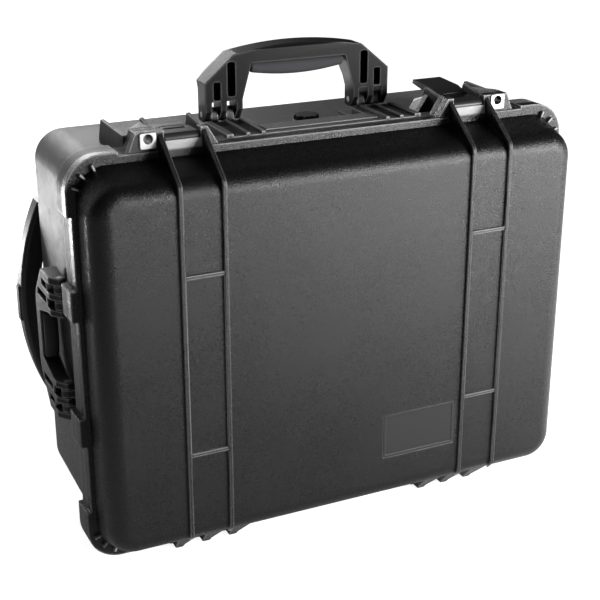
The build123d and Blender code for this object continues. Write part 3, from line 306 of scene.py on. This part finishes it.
@dataclass(frozen=True)
class Casting:
    """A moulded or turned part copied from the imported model, with softened edges.

    Attributes:
        node: The node that is copied.
        finish: Its finish.
        joined: Whether flat faces are joined first. Joined faces round many holes fold over
            when their edges are softened, so a plate with many holes leaves them split.
        edge: Width of the softened edges.
        crease: Angle in degrees above which an edge is softened.
        segments: Steps across a softened edge.
    """

    node: str
    finish: Finish
    joined: bool = True
    edge: float = 0.5 * MM
    crease: float = 32.0
    segments: int = 2

    def build(self) -> None:
        """Copy, merge, join flat faces, soften and dress the part."""
        mesh = frame["nodes"][self.node].data.copy()
        work = bmesh.new()
        work.from_mesh(mesh)
        bmesh.ops.remove_doubles(work, verts=work.verts, dist=MERGE)
        bmesh.ops.dissolve_degenerate(work, edges=work.edges, dist=MERGE)
        if self.joined:
            bmesh.ops.dissolve_limit(work, angle_limit=FLAT_ANGLE, verts=work.verts, edges=work.edges)
        shade_smooth(work, radians(self.crease))
        work.to_mesh(mesh)
        work.free()
        piece = bpy.data.objects.new(self.node + "_shape", mesh)
        bpy.context.scene.collection.objects.link(piece)
        soft = piece.modifiers.new("soft_edges", "BEVEL")
        soft.width, soft.segments = self.edge, self.segments
        soft.limit_method, soft.angle_limit = "ANGLE", radians(self.crease)
        soft.use_clamp_overlap = False
        soft.miter_outer = "MITER_ARC"
        piece.modifiers.new("even_shading", "WEIGHTED_NORMAL")
        settle(piece, self.node, self.finish)


def shade_smooth(work: bmesh.types.BMesh, crease: float) -> None:
    """Shade faces smooth, apart from edges that are sharper than the crease angle.

    Args:
        work: The mesh that is worked on.
        crease: The angle, in radians.
    """
    for face in work.faces:
        face.smooth = True
    for edge in work.edges:
        edge.smooth = edge.calc_face_angle(0.0) < crease


# ---- Surfaces worked out on a grid ---------------------------------------
ARC_STEPS = 5                          # steps round a softened corner of a path
POLE = 0.01                            # share of its size to which a closing row shrinks
SHARP_ANGLE = radians(50.0)            # edges above this show as creases


def run(start: np.ndarray, end: np.ndarray, spacing: float) -> np.ndarray:
    """Points evenly spaced on a straight run, start and end included.

    Args:
        start: First station.
        end: Last station.
        spacing: Largest step.

    Returns:
        The points, one a row.
    """
    steps = max(1, int(np.ceil(np.linalg.norm(end - start) / spacing)))
    return start + (end - start) * np.linspace(0.0, 1.0, steps + 1)[:, None]


def softened(corners: Sequence[Sequence[float]], radius: float,
             spacing: float | Sequence[float]) -> np.ndarray:
    """Path through a row of stations with each inner corner rounded off.

    A corner c becomes (1 - t)^2 a + 2 t (1 - t) c + t^2 b, where a and b lie the radius
    away from c on its two runs, and at most half a run away.

    Args:
        corners: Stations, each a row of sizes or coordinates.
        radius: How far from a corner its rounding starts.
        spacing: Largest step on the straight runs, one for all or one for each run.

    Returns:
        The path, one station a row.
    """
    points = np.asarray(corners, float)
    steps = np.broadcast_to(spacing, len(points) - 1)
    t = np.linspace(0.0, 1.0, ARC_STEPS + 1)[:, None]
    path, last = [points[:1]], points[0]
    for before, here, after, step in zip(points, points[1:], points[2:], steps):
        start = here + (before - here) * min(0.5, radius / np.linalg.norm(before - here))
        end = here + (after - here) * min(0.5, radius / np.linalg.norm(after - here))
        arc = (1 - t) ** 2 * start + 2 * t * (1 - t) * here + t ** 2 * end
        path += [run(last, start, step)[1:], arc[1:]]
        last = end
    path.append(run(last, points[-1], steps[-1])[1:])
    return np.concatenate(path)


def rounded_rows(half: np.ndarray, radius: np.ndarray, corner_steps: int, side_steps: int) -> np.ndarray:
    """Rounded rectangles, one a row, with as many points in each.

    A point is (sign * (half size - radius) + normal * radius): round a corner the sign stays
    and the normal turns, and along a side the normal stays and the sign slides over.

    Args:
        half: Half width and half height of each row.
        radius: Corner radius of each row.
        corner_steps: Steps round a corner.
        side_steps: Steps along a side.

    Returns:
        An array of rows by points by 2.
    """
    corners = np.array([(1, 1), (-1, 1), (-1, -1), (1, -1)], float)
    signs, normals = [], []
    for turn, (here, after) in enumerate(zip(corners, np.roll(corners, -1, axis=0))):
        angle = np.linspace(turn, turn + 1, corner_steps + 1) * pi / 2
        along = np.linspace(0.0, 1.0, side_steps + 1)[1:-1, None]
        signs += [np.tile(here, (len(angle), 1)), here + (after - here) * along]
        normals += [np.column_stack([np.cos(angle), np.sin(angle)]),
                    np.tile([np.cos(angle[-1]), np.sin(angle[-1])], (len(along), 1))]
    inner = (half - radius[:, None])[:, None, :]
    return np.concatenate(signs) * inner + np.concatenate(normals) * radius[:, None, None]


def turned_rows(profile: np.ndarray, steps: int) -> np.ndarray:
    """A profile turned about an axis: (r cos a, r sin a, height) for each angle a.

    Args:
        profile: Radius and height of each station.
        steps: Steps round the axis.

    Returns:
        An array of stations by steps by 3.
    """
    angle = np.linspace(0.0, 2 * pi, steps, endpoint=False)
    height = np.broadcast_to(profile[:, 1:2], (len(profile), steps))
    return np.stack([profile[:, :1] * np.cos(angle), profile[:, :1] * np.sin(angle), height], axis=-1)


def upright(flat: np.ndarray, depth: np.ndarray, centre: np.ndarray) -> np.ndarray:
    """Rows of flat points stood up, with x and z from the points and y from the depth.

    Args:
        flat: Rows by points by 2, from the centre.
        depth: The depth y of each row or of each point.
        centre: The centre, whose y isn't used.

    Returns:
        An array of rows by points by 3.
    """
    depth = np.broadcast_to(depth, flat.shape[:2])
    return np.stack([flat[..., 0] + centre[0], depth, flat[..., 1] + centre[2]], axis=-1)


def skin(name: str, grids: Sequence[np.ndarray], ring: bool = False) -> bpy.types.Object:
    """Closed surfaces over grids of points whose rows close on themselves.

    Args:
        name: Name of the piece.
        grids: Each an array of rows by points by 3.
        ring: Whether the last row joins the first. If not, each end gets a flat face.

    Returns:
        The piece, with its faces outward.
    """
    points, faces, first = [], [], 0
    for grid in grids:
        rows, cols = grid.shape[:2]
        i, j = np.meshgrid(np.arange(rows if ring else rows - 1), np.arange(cols), indexing="ij")
        here, there, on = i * cols, (i + 1) % rows * cols, (j + 1) % cols
        quads = np.stack([here + j, here + on, there + on, there + j], axis=-1)
        faces += (first + quads).reshape(-1, 4).tolist()
        last = first + rows * cols
        if not ring:
            faces += [list(range(first, first + cols)), list(range(last - cols, last))]
        points.append(grid.reshape(-1, 3))
        first = last
    mesh = bpy.data.meshes.new(name)
    mesh.from_pydata(np.concatenate(points), [], faces)
    work = bmesh.new()
    work.from_mesh(mesh)
    bmesh.ops.recalc_face_normals(work, faces=work.faces)
    shade_smooth(work, SHARP_ANGLE)
    work.to_mesh(mesh)
    work.free()
    piece = bpy.data.objects.new(name, mesh)
    bpy.context.scene.collection.objects.link(piece)
    return piece


def middle(node: str) -> tuple[np.ndarray, np.ndarray, np.ndarray, np.ndarray]:
    """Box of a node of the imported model.

    Args:
        node: The node.

    Returns:
        Its lowest and highest corners, its centre and its half size.
    """
    low, high = (np.array(end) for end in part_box(node))
    return low, high, (low + high) / 2, (high - low) / 2


@dataclass(frozen=True)
class LidFoam:
    """Egg-crate foam in the lid.

    Attributes:
        node: The node that it stands for.
        pitch: Distance between two peaks.
        depth: Depth of the valleys.
        border: Flat border round the peaks.
        corner: Corner radius of the pad.
        soft: Radius of its edges.
        gap: Room between the pad and the box of its node.
        bevel: How much lower the pad is towards the lid's face, above and below.
        spacing: Largest steps over the open side, down the walls and over the hidden side.
        steps: Steps round a corner and along a side.
    """

    node: str = "lid_foam"
    pitch: float = 38.0 * MM
    depth: float = 13.0 * MM
    border: float = 16.0 * MM
    corner: float = 26.0 * MM
    soft: float = 6.0 * MM
    gap: float = 0.5 * MM
    bevel: float = 9.5 * MM
    spacing: tuple[float, float, float] = (3.4 * MM, 8.0 * MM, 30.0 * MM)
    steps: tuple[int, int] = (8, 100)

    def build(self) -> None:
        """Peaks and valleys on the open side: the height is 1/2 + (cos 2 pi x/p + cos 2 pi z/p) / 4,
        and the border fades it to the full height."""
        low, high, centre, half = middle(self.node)
        wide = half[[0, 2]] - self.gap
        narrow = wide - np.array([0.0, self.bevel])
        top, bottom, corner = high[1], low[1] + self.gap, self.corner
        path = softened([(*(wide * POLE), corner * POLE, top), (*wide, corner, top),
                         (*narrow, corner, bottom), (*(narrow * POLE), corner * POLE, bottom)],
                        self.soft, self.spacing)
        flat = rounded_rows(path[:, :2], path[:, 2], *self.steps)
        edge = np.min(wide - np.abs(flat), axis=-1)
        fade = np.clip((edge - self.border) / (0.5 * self.pitch), 0.0, 1.0)
        waves = np.cos(2 * pi * flat / self.pitch).sum(axis=-1)
        sunk = self.depth * (0.5 - waves / 4) * fade ** 2 * (3 - 2 * fade)
        depth = path[:, 3:]
        depth = depth - np.where(depth > top - 0.1 * MM, sunk, 0.0)
        pad = skin("lid_foam_pad", [upright(flat, depth, centre)])
        settle(pad, self.node, FOAM)


@dataclass(frozen=True)
class BaseFoam:
    """Foam block in the base with a bay for the laptop and a deeper tray.

    Attributes:
        node: The node that it stands for.
        bay: Width, height and depth of the laptop's bay.
        tray: Width, height and depth of the tray.
        corner: Corner radius of the block, and of the bay and the tray.
        soft: Radius of the cut edges.
        gap: Room between the block and the box of its node.
        taper: How much narrower and lower the block is at the back, on each side.
        wheel_room: The block ends at this x beside a wheel, behind this y and beyond this
            height from the middle.
        nut_room: x, y, radius and depth of the hollow over the valve's nut.
        wave: Height of the slow waves that the cutting wire leaves.
        wave_pitch: Length of those waves along x and z.
        spacing: Largest steps from the tray's floor out, down and to the back.
        steps: Steps round a corner and along a side.
    """

    node: str = "base_foam"
    bay: tuple[float, float, float] = (390.0 * MM, 275.0 * MM, 50.0 * MM)
    tray: tuple[float, float, float] = (300.0 * MM, 180.0 * MM, 120.0 * MM)
    corner: tuple[float, float] = (26.0 * MM, 7.0 * MM)
    soft: float = 5.0 * MM
    gap: float = 0.3 * MM
    taper: tuple[float, float] = (2.0 * MM, 1.3 * MM)
    wheel_room: tuple[float, float, float] = (213.0 * MM, 70.0 * MM, 122.0 * MM)
    nut_room: tuple[float, float, float, float] = (6.0 * MM, -11.5 * MM, 17.0 * MM, 12.0 * MM)
    wave: float = 0.5 * MM
    wave_pitch: tuple[float, float] = (110.0 * MM, 83.0 * MM)
    spacing: tuple[float, ...] = (12 * MM, 8 * MM, 6 * MM, 8 * MM, 6 * MM, 4 * MM, 5 * MM)
    steps: tuple[int, int] = (8, 80)

    def build(self) -> None:
        """One skin from the tray's floor out over the tray's and bay's walls, the front, the
        outer walls and the back; then the rooms for the wheels and the nut are pushed in."""
        low, high, centre, half = middle(self.node)
        wide = half[[0, 2]] - self.gap
        narrow = wide - np.array(self.taper)
        bay, tray = np.array(self.bay[:2]) / 2, np.array(self.tray[:2]) / 2
        front, back = low[1], high[1] - self.gap
        bay_y, tray_y = front + self.bay[2], front + self.tray[2]
        outer, inner = self.corner
        path = softened([(*(tray * POLE), inner * POLE, tray_y), (*tray, inner, tray_y),
                         (*tray, inner, bay_y), (*bay, inner, bay_y), (*bay, inner, front),
                         (*wide, outer, front), (*narrow, outer, back),
                         (*(narrow * POLE), outer * POLE, back)], self.soft, self.spacing)
        flat = rounded_rows(path[:, :2], path[:, 2], *self.steps)
        x, z = flat[..., 0] + centre[0], flat[..., 1]
        pitch_x, pitch_z = self.wave_pitch
        y = path[:, 3:] + self.wave * np.sin(2 * pi * x / pitch_x) * np.sin(2 * pi * z / pitch_z)
        y = np.clip(y, low[1], high[1])
        room_x, room_y, room_z = self.wheel_room
        beside = (np.abs(z) > room_z) & (y > room_y)
        x = np.where(beside, np.minimum(x, room_x), x)
        nut_x, nut_y, nut_r, nut_d = self.nut_room
        over = (x - nut_x) ** 2 + (y - nut_y) ** 2 < nut_r ** 2
        z = np.where(over & (z > wide[1] - nut_d), wide[1] - nut_d, z)
        block = skin("base_foam_block", [np.stack([x, y, z + centre[2]], axis=-1)])
        settle(block, self.node, FOAM)


@dataclass(frozen=True)
class Seal:
    """Rubber bead in the lid's groove: a full oval section carried round the rim.

    Attributes:
        node: The node that it stands for.
        width: Width of the bead.
        corner: Corner radius of its outer side.
        power: Power of the oval, below 1 for a fuller one.
        section: Points round the section.
        steps: Steps round a corner and along a side.
    """

    node: str = "lid_seal"
    width: float = 3.8 * MM
    corner: float = 32.4 * MM
    power: float = 0.6
    section: int = 20
    steps: tuple[int, int] = (14, 50)

    def build(self) -> None:
        """The section is (w c, h s), where c and s are cosine and sine raised to the power."""
        _, _, centre, half = middle(self.node)
        angle = np.linspace(0.0, 2 * pi, self.section, endpoint=False)
        wide, deep = (np.sign(f) * np.abs(f) ** self.power for f in (np.cos(angle), np.sin(angle)))
        inward = self.width / 2 * (wide - 1.0)
        flat = rounded_rows(half[[0, 2]] + inward[:, None], self.corner + inward, *self.steps)
        depth = (centre[1] + half[1] * deep)[:, None]
        settle(skin("lid_seal_bead", [upright(flat, depth, centre)], ring=True), self.node, SEAL)


@dataclass(frozen=True)
class Label:
    """Bare label plate: a raised frame round a slightly sunk field.

    Attributes:
        node: The node that it stands for.
        frame: Width of the frame.
        sunk: How far the field lies below the frame.
        corner: Corner radius of the plate and of the field.
        soft: Radius of the edges.
        spacing: Largest step.
        middle: Share of the field's size to which the last row shrinks.
        steps: Steps round a corner and along a side.
    """

    node: str = "label_plate"
    frame: float = 2.6 * MM
    sunk: float = 0.35 * MM
    corner: tuple[float, float] = (1.8 * MM, 0.8 * MM)
    soft: float = 0.25 * MM
    spacing: float = 2.0 * MM
    middle: float = 0.9
    steps: tuple[int, int] = (6, 12)

    def build(self) -> None:
        """Rounded rectangles from the back out over the frame and down to the field."""
        low, high, centre, half = middle(self.node)
        wide, field = half[[0, 2]], half[[0, 2]] - self.frame
        outer, inner = self.corner
        front, floor = low[1], low[1] + self.sunk
        path = softened([(*wide, outer, high[1]), (*wide, outer, front), (*field, inner, front),
                         (*(field - self.sunk), inner, floor), (*(field * self.middle), inner, floor)],
                        self.soft, self.spacing)
        flat = rounded_rows(path[:, :2], path[:, 2], *self.steps)
        settle(skin("label_blank", [upright(flat, path[:, 3:], centre)]), self.node, LABEL)


@dataclass(frozen=True)
class Grip:
    """Soft grip under a handle's beam, with a belly for the fingers.

    Attributes:
        node: The node that it stands for.
        axes: Which coordinate runs along the grip, across it towards the beam, and in depth.
        rise: How much the belly rises towards the ends.
        corner: Radius of the section's corners.
        tip: Length of the closing ends.
        tip_inset: How far the section draws in at the very end.
        sections: Sections along the grip.
        steps: Steps round a corner and along a side.
    """

    node: str
    axes: tuple[int, int, int]
    rise: float = 5.0 * MM
    corner: float = 6.0 * MM
    tip: float = 2.5 * MM
    tip_inset: float = 2.0 * MM
    sections: int = 97
    steps: tuple[int, int] = (8, 8)

    def build(self) -> None:
        """Rounded rectangles along the grip: the lower side is at rise * s^2 for s from -1 to 1,
        and the last millimetres close in a quarter ellipse."""
        low, high, centre, half = middle(self.node)
        along, across, deep = self.axes
        s = np.sin(np.linspace(-pi / 2, pi / 2, self.sections))
        foot = low[across] + self.rise * s ** 2
        tall = (high[across] - foot) / 2
        past = (np.abs(s) * half[along] - half[along] + self.tip).clip(0.0) / self.tip
        inset = self.tip_inset * (1 - np.sqrt(np.clip(1.0 - past ** 2, 0.02, 1.0)))
        sizes = np.column_stack([tall - inset, half[deep] - inset])
        flat = rounded_rows(sizes, np.minimum(self.corner, sizes.min(axis=1) * 0.98), *self.steps)
        grid = np.empty((*flat.shape[:2], 3))
        grid[..., along] = (centre[along] + half[along] * s)[:, None]
        grid[..., across] = (foot + tall)[:, None] + flat[..., 0]
        grid[..., deep] = centre[deep] + flat[..., 1]
        settle(skin(self.node + "_cover", [grid]), self.node, RUBBER)


@dataclass(frozen=True)
class Tyre:
    """Rubber tyre with rounded shoulders and grooves round its tread.

    Attributes:
        node: The node that it stands for.
        bore: Radius of the hub inside it.
        shoulder: Radius of its shoulders.
        groove: Depth of a groove.
        mouth: Half width of a groove at the tread.
        grooves: Heights of the grooves from the middle.
        soft: Radius of the edges.
        spacing: Largest step along the section.
        steps: Steps round the axle.
    """

    node: str
    bore: float = 21.0 * MM
    shoulder: float = 4.0 * MM
    groove: float = 1.3 * MM
    mouth: float = 1.1 * MM
    grooves: tuple[float, ...] = (-6.5 * MM, 0.0, 6.5 * MM)
    soft: float = 0.5 * MM
    spacing: float = 1.5 * MM
    steps: int = 96

    def build(self) -> None:
        """A section with rounded shoulders and V grooves, turned about the upright axle."""
        _, _, centre, half = middle(self.node)
        radius, side = half[0], half[2]
        stations = [(self.bore, -side), (radius, -side)]
        for height in self.grooves:
            stations += [(radius, height - self.mouth), (radius - self.groove, height),
                         (radius, height + self.mouth)]
        stations += [(radius, side), (self.bore, side)]
        profile = softened(stations, self.soft, self.spacing)
        past = np.clip((np.abs(profile[:, 1]) - side + self.shoulder) / self.shoulder, 0.0, 1.0)
        rounded = radius - self.shoulder * (1 - np.sqrt(1 - past ** 2))
        profile[:, 0] = np.minimum(profile[:, 0], rounded)
        rows = turned_rows(profile, self.steps) + centre
        settle(skin(self.node + "_rubber", [rows], ring=True), self.node, TYRE)


@dataclass(frozen=True)
class HousingScrews:
    """Domed screws that hold the trolley's housing, with cross recesses.

    Attributes:
        node: The node that they stand for.
        places: x and z of the screws: every x goes with every z.
        seat: Depth y under the heads.
        head: Radius and height of a head.
        rim: Share of the head's height at its rim.
        crown: Share of the head's radius at its top.
        shank: Radius and length of a shank.
        tip: Radius of the flat at each end.
        recess: Half width, half length and depth of the cross.
        slopes: Width of the cross's sides and of its ends.
        soft: Radius of the edges.
        spacing: Largest steps along the shank and over the head.
        steps: Steps round a screw.
    """

    node: str = "housing_screws"
    places: tuple[tuple[float, ...], tuple[float, ...]] = (
        (-212.0 * MM, -100.0 * MM, 100.0 * MM, 196.0 * MM), (153.0 * MM, 281.0 * MM))
    seat: float = 113.0 * MM
    head: tuple[float, float] = (4.0 * MM, 2.1 * MM)
    rim: float = 0.55
    crown: float = 0.55
    shank: tuple[float, float] = (2.0 * MM, 7.5 * MM)
    tip: float = 0.02 * MM
    recess: tuple[float, float, float] = (0.55 * MM, 2.3 * MM, 1.2 * MM)
    slopes: tuple[float, float] = (0.25 * MM, 0.4 * MM)
    soft: float = 0.35 * MM
    spacing: tuple[float, ...] = (1.0, 1.5, 1.0, 1.0, 0.3, 0.16 * MM)
    steps: int = 72

    def build(self) -> None:
        """A turned profile whose crown is pressed in by the cross, |x| under the half width and
        |z| under the half length or the other way round, with soft sides."""
        radius, height = self.head
        thin, long = self.shank
        profile = softened([(self.tip, -long), (thin, -long), (thin, 0.0), (radius, 0.0),
                            (radius, self.rim * height), (self.crown * radius, height),
                            (self.tip, height)], self.soft, self.spacing)
        shape = turned_rows(profile, self.steps)
        x, z = np.abs(shape[..., 0]), np.abs(shape[..., 1])
        slot, reach, deep = self.recess
        side, end = self.slopes
        press = np.maximum(*(np.clip((slot - a) / side + 0.5, 0.0, 1.0)
                             * np.clip((reach - b) / end + 0.5, 0.0, 1.0) for a, b in ((x, z), (z, x))))
        y = shape[..., 2] - np.where(shape[..., 2] > 0.5 * height, deep * press, 0.0)
        screw = np.stack([shape[..., 0], y + self.seat, shape[..., 1]], axis=-1)
        across, up = self.places
        grids = [screw + np.array([a, 0.0, b]) for a in across for b in up]
        settle(skin("housing_screw_heads", grids), self.node, STEEL)


# ---- Stage ---------------------------------------------------------------
WHITE = (1.0, 1.0, 1.0, 1.0)


@dataclass(frozen=True)
class Softbox:
    """A rectangular studio lamp aimed at a point.

    Attributes:
        name: Its name.
        place: Where it stands.
        aim: The point that it faces.
        size: Its width and height.
        watts: Its power.
    """

    name: str
    place: tuple[float, float, float]
    aim: tuple[float, float, float]
    size: tuple[float, float]
    watts: float

    def build(self) -> None:
        """Make the lamp."""
        lamp = bpy.data.lights.new(self.name, "AREA")
        lamp.shape, lamp.size, lamp.size_y, lamp.energy = "RECTANGLE", *self.size, self.watts
        holder = bpy.data.objects.new(self.name, lamp)
        bpy.context.scene.collection.objects.link(holder)
        holder.location = self.place
        holder.rotation_euler = (Vector(self.aim) - Vector(self.place)).to_track_quat("-Z", "Y").to_euler()


@dataclass(frozen=True)
class LitSide:
    """The side on which the studio shines white in a glossy surface.

    Attributes:
        towards: Direction of the lit side.
        near: Distance along that direction at which the dark side ends.
        far: Distance from which all is white.
        dark: Brightness of the dark side.
    """

    towards: tuple[float, float, float]
    near: float
    far: float
    dark: float

    def whiteness(self, graph: Graph, place: bpy.types.NodeSocket) -> bpy.types.NodeSocket:
        """How white the studio is for a ray: 1 for camera and transmission rays, and for glossy
        rays the brightness of the side that they meet, from dark smoothly to 1.

        Args:
            graph: The tree to add the nodes to.
            place: Direction of a ray, or place on the floor.

        Returns:
            The socket that holds it, which is 0 for all other rays.
        """
        ray = graph.add("LightPath").outputs
        along = graph.add("VectorMath", {0: place, 1: self.towards}, operation="DOT_PRODUCT")
        side = graph.add("MapRange", {"Value": along.outputs["Value"], "From Min": self.near,
                                      "From Max": self.far, "To Min": self.dark, "To Max": 1.0},
                         interpolation_type="SMOOTHSTEP")
        glossy = graph.add("Math", {0: ray["Is Glossy Ray"], 1: side.outputs["Result"]},
                           operation="MULTIPLY")
        direct = graph.add("Math", {0: ray["Is Camera Ray"], 1: ray["Is Transmission Ray"]},
                           operation="MAXIMUM")
        return graph.add("Math", {0: glossy.outputs[0], 1: direct.outputs[0]},
                         operation="MAXIMUM").outputs[0]


@dataclass(frozen=True)
class Studio:
    """Camera, pale floor, white surroundings and the lamps.

    Attributes:
        eye: Place of the camera.
        azimuth: Compass angle in degrees at which it looks.
        elevation: Its tilt in degrees, below 0 when it looks down.
        lens: Focal length in millimetres.
        floor_half: Half the floor's width.
        paper: Linear colour of the floor.
        floor_white: The floor's own white near the case, which the lamps fill up outside its shadow.
        floor_fade: Distances from the middle between which the floor turns full white.
        floor_side: The lit side of the floor.
        sky_side: The lit side of the surroundings.
        fill: Strength at which the surroundings light matt surfaces.
        lamps: The lamps.
    """

    eye: tuple[float, float, float] = (-0.55653, -1.1812, 0.72804)
    azimuth: float = 25.405
    elevation: float = -21.415
    lens: float = 77.53
    floor_half: float = 6.0
    paper: tuple[float, float, float] = (0.85, 0.85, 0.85)
    floor_white: float = 0.9
    floor_fade: tuple[float, float] = (0.7, 1.8)
    floor_side: LitSide = LitSide((0.85, 0.53, 0.0), near=0.0, far=0.3, dark=0.02)
    sky_side: LitSide = LitSide((-0.25, 0.93, 0.25), near=0.72, far=0.97, dark=0.03)
    fill: float = 0.06
    lamps: tuple[Softbox, ...] = (
        Softbox("key", (1.2, -1.5, 0.5), (0.05, -0.13, 0.4), (1.1, 0.3), 54.0),
        Softbox("back", (0.0, 2.0, 0.95), (-0.2, 0.0, 0.4), (0.7, 0.6), 15.0),
        Softbox("low", (-0.42, 0.9, 0.08), (-0.26, 0.0, 0.15), (0.2, 0.14), 2.2),
    )

    def build(self) -> None:
        """Make all of it."""
        self.camera()
        self.floor()
        self.surroundings()
        for lamp in self.lamps:
            lamp.build()
        bpy.context.scene.view_settings.view_transform = "Standard"

    def camera(self) -> None:
        """Camera at the height and angle from which the case is shown."""
        data = bpy.data.cameras.new("camera")
        data.lens, data.sensor_width, data.clip_start = self.lens, 36.0, 0.01
        camera = bpy.data.objects.new("camera", data)
        bpy.context.scene.collection.objects.link(camera)
        turn, tilt = radians(self.azimuth), radians(self.elevation)
        ahead = Vector((np.sin(turn) * np.cos(tilt), np.cos(turn) * np.cos(tilt), np.sin(tilt)))
        camera.location = self.eye
        camera.rotation_euler = ahead.to_track_quat("-Z", "Y").to_euler()
        bpy.context.scene.camera = camera

    def floor(self) -> None:
        """Pale floor that shows the case's shadow and is otherwise as white as the surroundings."""
        half = self.floor_half
        mesh = bpy.data.meshes.new("floor")
        mesh.from_pydata([(-half, -half, 0), (half, -half, 0), (half, half, 0), (-half, half, 0)], [],
                         [(0, 1, 2, 3)])
        floor = bpy.data.objects.new("floor", mesh)
        bpy.context.scene.collection.objects.link(floor)
        material = bpy.data.materials.new("floor_paper")
        material.use_nodes = True
        graph = Graph(material.node_tree)
        place = graph.add("TexCoord").outputs["Object"]
        away = graph.add("VectorMath", {0: place}, operation="LENGTH").outputs["Value"]
        near, far = self.floor_fade
        white = graph.add("MapRange", {"Value": away, "From Min": near, "From Max": far,
                                       "To Min": self.floor_white, "To Max": 1.0}).outputs["Result"]
        shine = graph.add("Math", {0: self.floor_side.whiteness(graph, place), 1: white},
                          operation="MULTIPLY").outputs[0]
        matt = graph.add("BsdfDiffuse", {"Color": (*self.paper, 1.0)})
        glow = graph.add("Emission", {"Color": WHITE, "Strength": shine})
        both = graph.add("AddShader", {0: matt.outputs[0], 1: glow.outputs[0]})
        graph.add("OutputMaterial", {"Surface": both.outputs[0]})
        mesh.materials.append(material)

    def surroundings(self) -> None:
        """White backdrop for what is seen or mirrored, and a dimmer fill for everything else."""
        world = bpy.data.worlds.new("studio")
        world.use_nodes = True
        bpy.context.scene.world = world
        graph = Graph(world.node_tree)
        direction = graph.add("TexCoord").outputs["Generated"]
        white = graph.add("Background", {"Color": WHITE,
                                         "Strength": self.sky_side.whiteness(graph, direction)})
        fill = graph.add("Background", {"Color": WHITE, "Strength": self.fill})
        mix = graph.add("MixShader", {0: graph.add("LightPath").outputs["Is Diffuse Ray"],
                                      1: white.outputs[0], 2: fill.outputs[0]})
        graph.add("OutputWorld", {"Surface": mix.outputs[0]})


# ---- The case ------------------------------------------------------------
FITTED = (BaseFoam(), LidFoam(), Seal(), Label(), HousingScrews(),
          Grip("top_handle_grip", (0, 2, 1)), Grip("side_handle_grip", (2, 1, 0)),
          Tyre("wheel_tyre_top"), Tyre("wheel_tyre_bottom"))
OWN_FINISH = {"base_shell": BASE, "top_handle_frame": HANDLE, "side_handle_frame": BASE}
LEFT_SPLIT = {"trolley_housing", "trolley_sleeves", "trolley_mid_tubes", "trolley_inner_tubes",
              "latch_lever_left", "latch_lever_right"}
CASTINGS = tuple(Casting(node, OWN_FINISH.get(node, FINISH_OF_SLOT[SLOT_OF[node]]), node not in LEFT_SPLIT)
                 for node in frame["nodes"] if node not in {piece.node for piece in FITTED})


def main() -> None:
    """Build the studio and every piece of the case, in order."""
    logging.basicConfig(level=logging.INFO, format="%(message)s")
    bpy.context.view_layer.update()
    Studio().build()
    for piece in CASTINGS + FITTED:
        piece.build()


if __name__ == "__main__":
    main()
